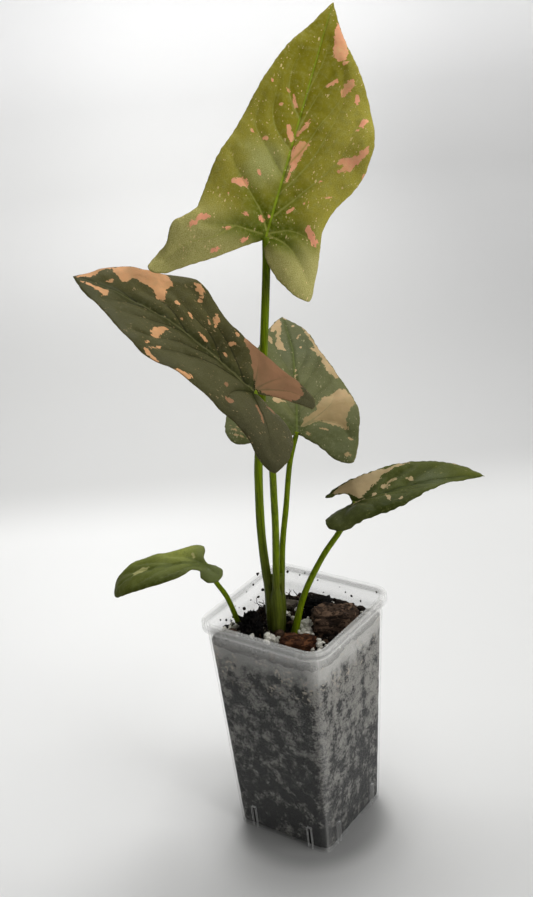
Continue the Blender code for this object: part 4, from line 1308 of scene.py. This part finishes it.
def add_mix():
    outline = mix_outline(MIX_LEVEL)
    count = len(outline)
    edge_height = mix_height(outline) - MIX_EDGE_DROP
    rows = []
    for share in np.linspace(0, 1, MIX_SIDE_RINGS):
        ring = mix_outline(MIX_BOTTOM + share * (MIX_LEVEL - MIX_BOTTOM))
        rows.append(np.column_stack([ring, MIX_BOTTOM + share * (edge_height - MIX_BOTTOM)]))
    side = np.vstack(rows)
    dent = MIX_DENT * np.clip(grain(side, 5.0, 7) + 0.5 * grain(side, 2.0, 8) - 0.05, 0, 1)
    reach = np.linalg.norm(side[:, :2], axis=1)
    side[:, :2] *= (1 - dent / reach)[:, None]
    top = []
    for share in np.linspace(1.0, 1 / MIX_RINGS, MIX_RINGS):
        ring = outline * share
        top.append(np.column_stack([ring, mix_height(ring)]))
    points = np.vstack([side, *top, [(0.0, 0.0, mix_height(np.zeros((1, 2)))[0])]])
    rings = MIX_SIDE_RINGS + MIX_RINGS
    faces = ringed_faces(rings, count)
    last = (rings - 1) * count
    faces += [(last + j, last + (j + 1) % count, rings * count) for j in range(count)]
    faces.append(tuple(reversed(range(count))))
    mesh = mesh_of("potting_mix_rough", points, faces)
    add_piece(mesh, mix_finish(), ["potting_mix"])


def mix_finish():
    """Dark crumbs on top. The sides are dark ragged clumps on grey, with a milky band above, painted light
    on the right side and painted shade behind the drain slots.
    """
    s = Shader("potting mix")
    place = s.place()
    x, y, height = s.split(place)
    crumb = s.noise(place, 1.6, 5, 0.7)
    lump = s.noise(place, 5.0, 4, 0.6, 0.4)
    top = s.mix(s.step(crumb, 0.4, 0.6), (0.003, 0.0025, 0.002), (0.034, 0.024, 0.017))
    top = s.mix(s.step(s.cells(place, 2.2), 0.1, 0.17, 0.8, 0.0), top, (0.5, 0.46, 0.38))
    clump = s.noise(place, 7.0, 8, 0.69)
    fibre = s.noise(place, 1.3, 3, 0.7, 0.7)
    column = s.noise(s.stretch(place, (1.0, 1.0, 0.1)), 6.0, 2, 0.5)
    # Painted light: the side towards the right lamp is paler, in its clumps, its grey and its band.
    painted_light_side = s.step(x, 20, 29)
    field = s.sum(clump, s.swing(fibre, 0.5))
    field = s.sum(field, s.swing(column, 0.3))
    field = s.sum(field, s.step(s.sum(height, s.swing(lump, 40)), 0, 85, -0.055, 0.02))
    field = s.sum(field, s.times(painted_light_side, 0.022))
    grey = s.mix(s.step(field, 0.51, 0.63), (0.07, 0.068, 0.063), (0.24, 0.233, 0.213))
    grey = s.mix(s.times(painted_light_side, s.step(height, 30, 90, 0.1, 0.4)), grey, (0.36, 0.345, 0.31))
    side = s.mix(s.step(field, 0.468, 0.51), (0.005, 0.005, 0.005), grey)
    curl = s.noise(place, 2.4, 2, 0.5, 1.6)
    thread = s.step(s.magnitude(s.sum(curl, -0.5)), 0.012, 0.03, 0.85, 0.0)
    side = s.mix(s.times(thread, s.step(lump, 0.44, 0.52)), side, (0.006, 0.006, 0.005))
    # Painted shade: the mix seen through the drain slots is near black.
    painted_slot_shade = s.step(from_slot(s, across_side(s, x, y)), 1.1, 1.5, 1.0, 0.0)
    painted_slot_shade = s.times(painted_slot_shade, s.step(height, SLOT_TOP, SLOT_TOP + 1, 1.0, 0.0))
    side = s.mix(painted_slot_shade, side, (0.002, 0.002, 0.002))
    band = s.step(s.sum(height, s.swing(clump, 34)), 95, 103)
    side = s.mix(s.times(band, 0.8), side, (0.265, 0.26, 0.24))
    side = s.mix(s.times(s.times(band, painted_light_side), 0.6), side, (0.46, 0.45, 0.42))
    left_end = s.times(s.step(x, -19, -30), s.step(height, 84, 103))
    side = s.mix(s.times(left_end, 0.75), side, (0.44, 0.43, 0.41))
    pale = s.step(s.noise(place, 1.5, 2, 0.5), 0.56, 0.62)
    where = s.times(s.step(height, 84, 93), s.step(s.noise(place, 9.0, 1), 0.5, 0.56))
    side = s.mix(s.times(pale, where), side, (0.42, 0.37, 0.3))
    up = s.split(s.node("ShaderNodeTexCoord", {}, "Normal"))[2]
    facing_up = s.times(s.step(height, MIX_LEVEL - 9, MIX_LEVEL - 7), s.step(up, 0.3, 0.6))
    base = s.mix(facing_up, side, top)
    s.set(Base_Color=base, Roughness=s.step(crumb, 0.3, 0.7, 0.8, 1.0), Specular_IOR_Level=0.15)
    s.set(Normal=s.bump(s.sum(crumb, lump), 0.8, 0.8))
    return s.material


def lump_points(half, seed, detail, roughness, boxiness, layers=0.0):
    """Points and faces of a rough lump with these half sizes, about the middle."""
    bm = bmesh.new()
    bmesh.ops.create_icosphere(bm, subdivisions=detail, radius=1.0)
    rows = []
    for vertex in bm.verts:
        direction = vertex.co.normalized()
        box = 1 / max(abs(value) for value in direction) ** boxiness
        shift = Vector((seed, 2 * seed, 3 * seed))
        rough = 1 + 0.16 * noise.noise(direction * 1.9 + shift)
        fine = noise.noise(direction * 5.0 + shift) + 0.5 * noise.noise(direction * 12.0 + shift)
        band = noise.noise(direction * Vector((1.2, 1.2, 9.0)) + shift)
        rough += roughness * fine + layers * band
        rows.append([value * box * rough * 0.88 * size for value, size in zip(direction, half)])
    faces = [tuple(vertex.index for vertex in face.verts) for face in bm.faces]
    bm.free()
    return np.array(rows), faces


def turned(points, degrees, centre):
    cosine, sine = math.cos(math.radians(degrees)), math.sin(math.radians(degrees))
    x, y, z = points.T
    return np.stack([x * cosine - y * sine, x * sine + y * cosine, z], -1) + np.array(centre)


# Roughness, boxiness and layering of the lumps that differ from the rest.
LUMP_FORMS = {
    "bark_right": (0.09, 0.75, 0.16),
    "bark_back": (0.38, 0.4, 0.3),
    "bark_left": (0.42, 0.35, 0.3),
}
# x, y and spread of the places where grains and threads gather, and the specks on the inner walls.
PERLITE_CLUSTERS = (
    (4, 2, 2.2), (7, -3, 1.8), (-28, -20, 3), (-24, -15, 3), (-3, -17, 2), (19, -12, 2.5), (-14, 3, 5),
)
MOSS_CLUSTERS = (
    (-27, -12, 3), (-27, -2, 4), (-25, 6, 4), (-21, 11, 4), (-21, -17, 3), (2, 18, 5), (-14, 18, 6),
    (-20, -9, 3), (-8, 8, 4),
)
WALL_SPECKS = (
    (6.1, 31.2, 114.4), (12.7, 31.0, 111.0), (9.4, 31.0, 112.4), (-3.6, 31.0, 109.2),
    (-6.7, 31.2, 115.3), (-17.4, 31.2, 115.7), (-14.2, 31.3, 117.4), (-24.7, 31.2, 115.7),
    (17.8, 31.0, 109.4), (27.4, 30.6, 117.0), (-31.2, 3.9, 116.5), (-31.3, 10.1, 117.3),
    (-31.0, 17.2, 110.8), (-31.3, -11.2, 117.5), (-31.1, -6.0, 113.7), (-31.0, 6.5, 110.6),
    (-31.0, -19.0, 112.6), (-31.0, -14.5, 110.2), (-31.0, -9.0, 109.0), (-31.0, 0.5, 108.6),
    (-31.0, -3.5, 111.4), (-31.0, 13.0, 109.0), (-34.0, 18.0, 118.9), (-33.4, 17.2, 119.0),
    (-34.2, 19.0, 118.8),
)

BARK_LOOKS = {
    "bark_right": ("bark", (0.006, 0.004, 0.003), (0.19, 0.12, 0.08)),
    "bark_front": ("bark_red", (0.02, 0.007, 0.004), (0.15, 0.062, 0.028)),
    "bark_back": ("bark_dark", (0.002, 0.002, 0.002), (0.016, 0.014, 0.013)),
    "bark_left": ("bark_dark", (0.001, 0.001, 0.001), (0.009, 0.007, 0.006)),
    "bark_flake": ("bark_grey", (0.07, 0.06, 0.045), (0.22, 0.19, 0.15)),
}


def bark_finish(name, dark, light):
    s = Shader(name)
    place = s.place()
    layer = s.noise(s.stretch(place, (0.28, 0.28, 1.0), (0.3, 0.2, 0.6)), 1.8, 6, 0.6, 0.3)
    patch = s.noise(place, 4.5, 5, 0.65)
    # Painted shade: thin dark lines where the layers part, for the shade in crevices.
    crevice_shade = s.step(s.magnitude(s.sum(layer, -0.5)), 0.008, 0.035, 0.9, 0.0)
    base = s.mix(s.step(layer, 0.35, 0.65, 0.25, 1.0), dark, light)
    base = s.mix(s.step(patch, 0.47, 0.6, 0.0, 0.8), base, dark)
    base = s.mix(crevice_shade, base, dark)
    s.set(Base_Color=base, Roughness=s.step(layer, 0.3, 0.7, 0.7, 0.95), Specular_IOR_Level=0.08)
    s.set(Normal=s.bump(s.sum(layer, patch), 0.7, 0.9))
    return s.material


def perlite_finish():
    s = Shader("perlite")
    place = s.place()
    pit = s.cells(place, 0.6)
    shade = s.noise(place, 1.4, 3)
    base = s.mix(s.step(pit, 0.1, 0.45), (0.42, 0.4, 0.33), (0.8, 0.78, 0.7))
    base = s.mix(s.step(shade, 0.5, 0.75, 0.0, 0.5), base, (0.5, 0.44, 0.32))
    s.set(Base_Color=base, Roughness=s.step(shade, 0.3, 0.7, 0.8, 0.95))
    s.set(Normal=s.bump(pit, 0.3, 0.8))
    return s.material


def add_pieces():
    white = perlite_finish()
    for node, (centre, half, turn, seed) in PIECES.items():
        grit = node.startswith("perlite")
        roughness, boxiness, layers = LUMP_FORMS.get(node, (0.1, 0.45, 0.0) if grit else (0.12, 0.6, 0.12))
        rows, faces = lump_points(half, seed, 5, roughness, boxiness, layers)
        mesh = mesh_of(node + "_rough", turned(rows, turn, centre), faces)
        if grit:
            slot, finish = "perlite", white
        else:
            slot, dark, light = BARK_LOOKS[node]
            finish = bark_finish(node + " grain", dark, light)
        add_piece(mesh, finish, [node])
    return white


def spots_on_mix(rng, count, half_width, clusters=(), share=0.0):
    """Points on the mix, some of them gathered round the clusters and clear of the stems."""
    rows = []
    while len(rows) < count:
        if clusters and rng.random() < share:
            x, y, spread = clusters[rng.integers(len(clusters))]
            x, y = x + rng.normal(0, spread), y + rng.normal(0, spread)
        else:
            x, y = rng.uniform(-half_width, half_width, 2)
        corner = math.hypot(max(0, abs(x) - LITTER_SQUARE), max(0, abs(y) - LITTER_SQUARE))
        lies_inside = max(abs(x), abs(y)) < half_width and corner < LITTER_CORNER
        if lies_inside and math.dist((x, y), STEM_FOOT) > STEM_CLEARANCE:
            rows.append((x, y, mix_height(np.array([[x, y]]))[0]))
    return rows


def add_scatter(name, spots, sizes, seed, form, finish):
    """Small lumps at the spots, in one piece. form holds the lumps' detail, roughness and boxiness."""
    rng = np.random.default_rng(seed)
    detail, roughness, boxiness = form
    rows, faces, total = [], [], 0
    for x, y, z in spots:
        half = rng.uniform(*sizes) * rng.uniform(0.6, 1.3, 3)
        own, own_faces = lump_points(half, rng.uniform(0, 50), detail, roughness, boxiness)
        rows.append(turned(own, rng.uniform(0, 360), (x, y, z + 0.35 * half[2])))
        faces += [tuple(i + total for i in face) for face in own_faces]
        total += len(own)
    add_piece(mesh_of(name, np.vstack(rows), faces), finish, [])


def thread_rows(rng, start, length, rise):
    """A curling line of points that wanders up and along from its start."""
    heading, tilt = rng.uniform(0, 2 * np.pi), rise
    point, rows = np.array(start, float), []
    for _ in range(int(length / THREAD_STEP)):
        rows.append(point.copy())
        heading += rng.normal(0, THREAD_TURN)
        tilt = float(np.clip(tilt + rng.normal(0, THREAD_TILT), *THREAD_TILT_RANGE))
        level = math.cos(tilt)
        step = np.array([math.cos(heading) * level, math.sin(heading) * level, math.sin(tilt)])
        point = point + THREAD_STEP * step
        limit = wall_half(MIX_LEVEL) - POT_WALL - THREAD_GAP
        point[:2] = np.clip(point[:2], -limit, limit)
        point[2] = min(max(point[2], MIX_LEVEL - 1), POT_HEIGHT - 1)
    return np.array(rows)


def add_threads(name, seed, starts, thickness, finish):
    """Fine moss and root threads, in one piece."""
    rng = np.random.default_rng(seed)
    ring = circle(angles_round(THREAD_SIDES))
    points, faces, total = [], [], 0
    for start in starts:
        line = thread_rows(rng, start, rng.uniform(3, 10), rng.uniform(-0.2, 0.9))
        wide = rng.uniform(*thickness)
        for i, (centre, axes) in enumerate(zip(line, across_axes(line))):
            points.append(centre + wide * (1 - 0.7 * i / len(line)) * (ring @ axes))
        faces += [tuple(total + i for i in face) for face in closed_faces(len(line), THREAD_SIDES)]
        total += THREAD_SIDES * len(line)
    add_piece(mesh_of(name, np.vstack(points), faces), finish, [])


def add_litter(white):
    """Crumbs, perlite, moss threads and the specks on the pot's inner walls."""
    rng = np.random.default_rng(5)
    dark = bark_finish("crumb grain", (0.003, 0.0025, 0.002), (0.03, 0.02, 0.014))
    brown = bark_finish("chip grain", (0.03, 0.017, 0.01), (0.14, 0.085, 0.055))
    moss = bark_finish("moss thread", (0.006, 0.004, 0.003), (0.035, 0.022, 0.012))
    spots = spots_on_mix(rng, CRUMBS, 29.5)
    add_scatter("crumbs", spots, (0.5, 1.7), 21, (2, 0.22, 0.5), dark)
    spots = spots_on_mix(rng, CHIPS, 28.5)
    add_scatter("bark_chips", spots, (1.0, 2.6), 22, (3, 0.2, 0.6), brown)
    grit = [(x, y, z + 0.8) for x, y, z in spots_on_mix(rng, GRAINS, 29, PERLITE_CLUSTERS, 0.85)]
    add_scatter("perlite_grains", grit, (0.6, 1.7), 23, (3, 0.12, 0.4), white)
    starts = spots_on_mix(rng, THREADS, 29, MOSS_CLUSTERS, 0.88)
    add_threads("moss_threads", 24, starts, (0.14, 0.42), moss)
    add_scatter("wall_specks", WALL_SPECKS, (0.3, 0.85), 25, (2, 0.3, 0.3), dark)


# Stage, light and camera.


def paper_painted_shade():
    """Pale paper with painted light and shade: greyer to the right, some way behind the plant and low on
    the backdrop, lighter high in the middle of the backdrop, darker towards the camera, and a painted
    shadow round the pot's foot.
    """
    s = Shader("paper sweep painted shade")
    place = s.place()
    x, y, z = s.split(place)
    behind = s.sum(s.times(x, -VIEW_SINE), s.times(y, VIEW_COSINE))
    aside = s.sum(s.times(x, VIEW_COSINE), s.times(y, VIEW_SINE))
    left = s.mix(s.step(s.noise(place, 260, 2), 0.35, 0.65), (0.88, 0.88, 0.87), (0.9, 0.9, 0.89))
    # Painted shade: the floor near the plant greys to the right.
    near = s.mix(s.step(aside, -180, 200), left, (0.7, 0.7, 0.69))
    # Painted light and shade on the far floor and the backdrop: greyer low down and to the sides, palest
    # high in the middle.
    far = s.mix(s.step(behind, 700, 1500), (0.66, 0.66, 0.65), (0.84, 0.84, 0.83))
    far = s.mix(s.step(aside, -100, 380, 0.0, 0.6), far, (0.4, 0.4, 0.4))
    far = s.mix(s.step(aside, -150, -480, 0.0, 0.22), far, (0.4, 0.4, 0.4))
    raised = s.mix(s.step(s.magnitude(aside), 160, 520), (1.0, 1.0, 1.0), (0.87, 0.87, 0.87))
    far = s.mix(s.step(z, 20, 330), far, raised)
    base = s.mix(s.step(behind, 330, 455), near, far)
    # Painted shade: darker towards the camera.
    base = s.mix(s.step(behind, 90, -110, 0.0, 0.43), base, (0.42, 0.42, 0.415))
    # Painted shadow round the pot's foot.
    foot = s.distance(place, (5, -6, 0))
    base = s.mix(s.step(foot, 26, 64, 0.31, 0.0), base, (0.2, 0.2, 0.19))
    base = s.mix(s.step(foot, 30, 44, 0.42, 0.0), base, (0.06, 0.06, 0.06))
    s.set(Base_Color=base, Roughness=0.9, Specular_IOR_Level=0.1)
    return s.material


def add_stage():
    """A pale floor that curves up into a backdrop."""
    ring = circle(angles_round(SWEEP_SIDES))
    rings = [at_height(reach * ring, height) for reach, height in SWEEP_SECTION]
    mesh = mesh_of("sweep", np.vstack(rings), ringed_faces(len(rings), SWEEP_SIDES))
    add_object("sweep", mesh, paper_painted_shade())


def add_light(name, place, target, size, power):
    data = bpy.data.lights.new(name, "AREA")
    data.shape = "RECTANGLE"
    data.size, data.size_y = size
    data.energy = power
    lamp = linked(name, data)
    lamp.location = place
    lamp.rotation_mode = "QUATERNION"
    lamp.rotation_quaternion = (Vector(target) - Vector(place)).to_track_quat("-Z", "Y")


def add_lights():
    world = bpy.data.worlds.new("studio")
    bpy.context.scene.world = world
    world.use_nodes = True
    background = world.node_tree.nodes["Background"]
    background.inputs["Color"].default_value = (1.0, 1.0, 1.0, 1.0)
    background.inputs["Strength"].default_value = 0.2
    add_light("side", (1.1, 0.1, 0.62), (0, 0, 0.15), (0.9, 0.9), 9)
    add_light("top", (-0.15, 0.32, 1.15), (0, 0, 0.08), (0.5, 0.5), 8.2)
    add_light("backdrop", (-0.75, 1.0, 1.3), (-1.2, 1.6, 0.2), (1.0, 0.6), 9.7)


def add_camera():
    azimuth, elevation, roll = map(math.radians, (CAMERA_AZIMUTH, CAMERA_ELEVATION, CAMERA_ROLL))
    flat = math.cos(elevation)
    back = Vector((math.sin(azimuth) * flat, -math.cos(azimuth) * flat, math.sin(elevation)))
    level = (-back).cross(Vector((0, 0, 1))).normalized()
    down = (-back).cross(level)
    right = math.cos(roll) * level + math.sin(roll) * down
    up = math.sin(roll) * level - math.cos(roll) * down
    data = bpy.data.cameras.new("camera")
    data.sensor_width = SENSOR
    data.lens = SENSOR * FOCAL_PIXELS / FRAME_PIXELS
    data.clip_start = 0.01
    camera = linked("camera", data)
    turn = Matrix((right, up, back)).transposed()
    camera.matrix_world = Matrix.Translation(CAMERA_PLACE) @ turn.to_4x4()
    bpy.context.scene.camera = camera


bpy.context.scene.view_settings.view_transform = "Standard"
add_camera()
add_lights()
add_stage()
add_pot()
add_mix()
add_litter(add_pieces())
add_stems()
add_blades()
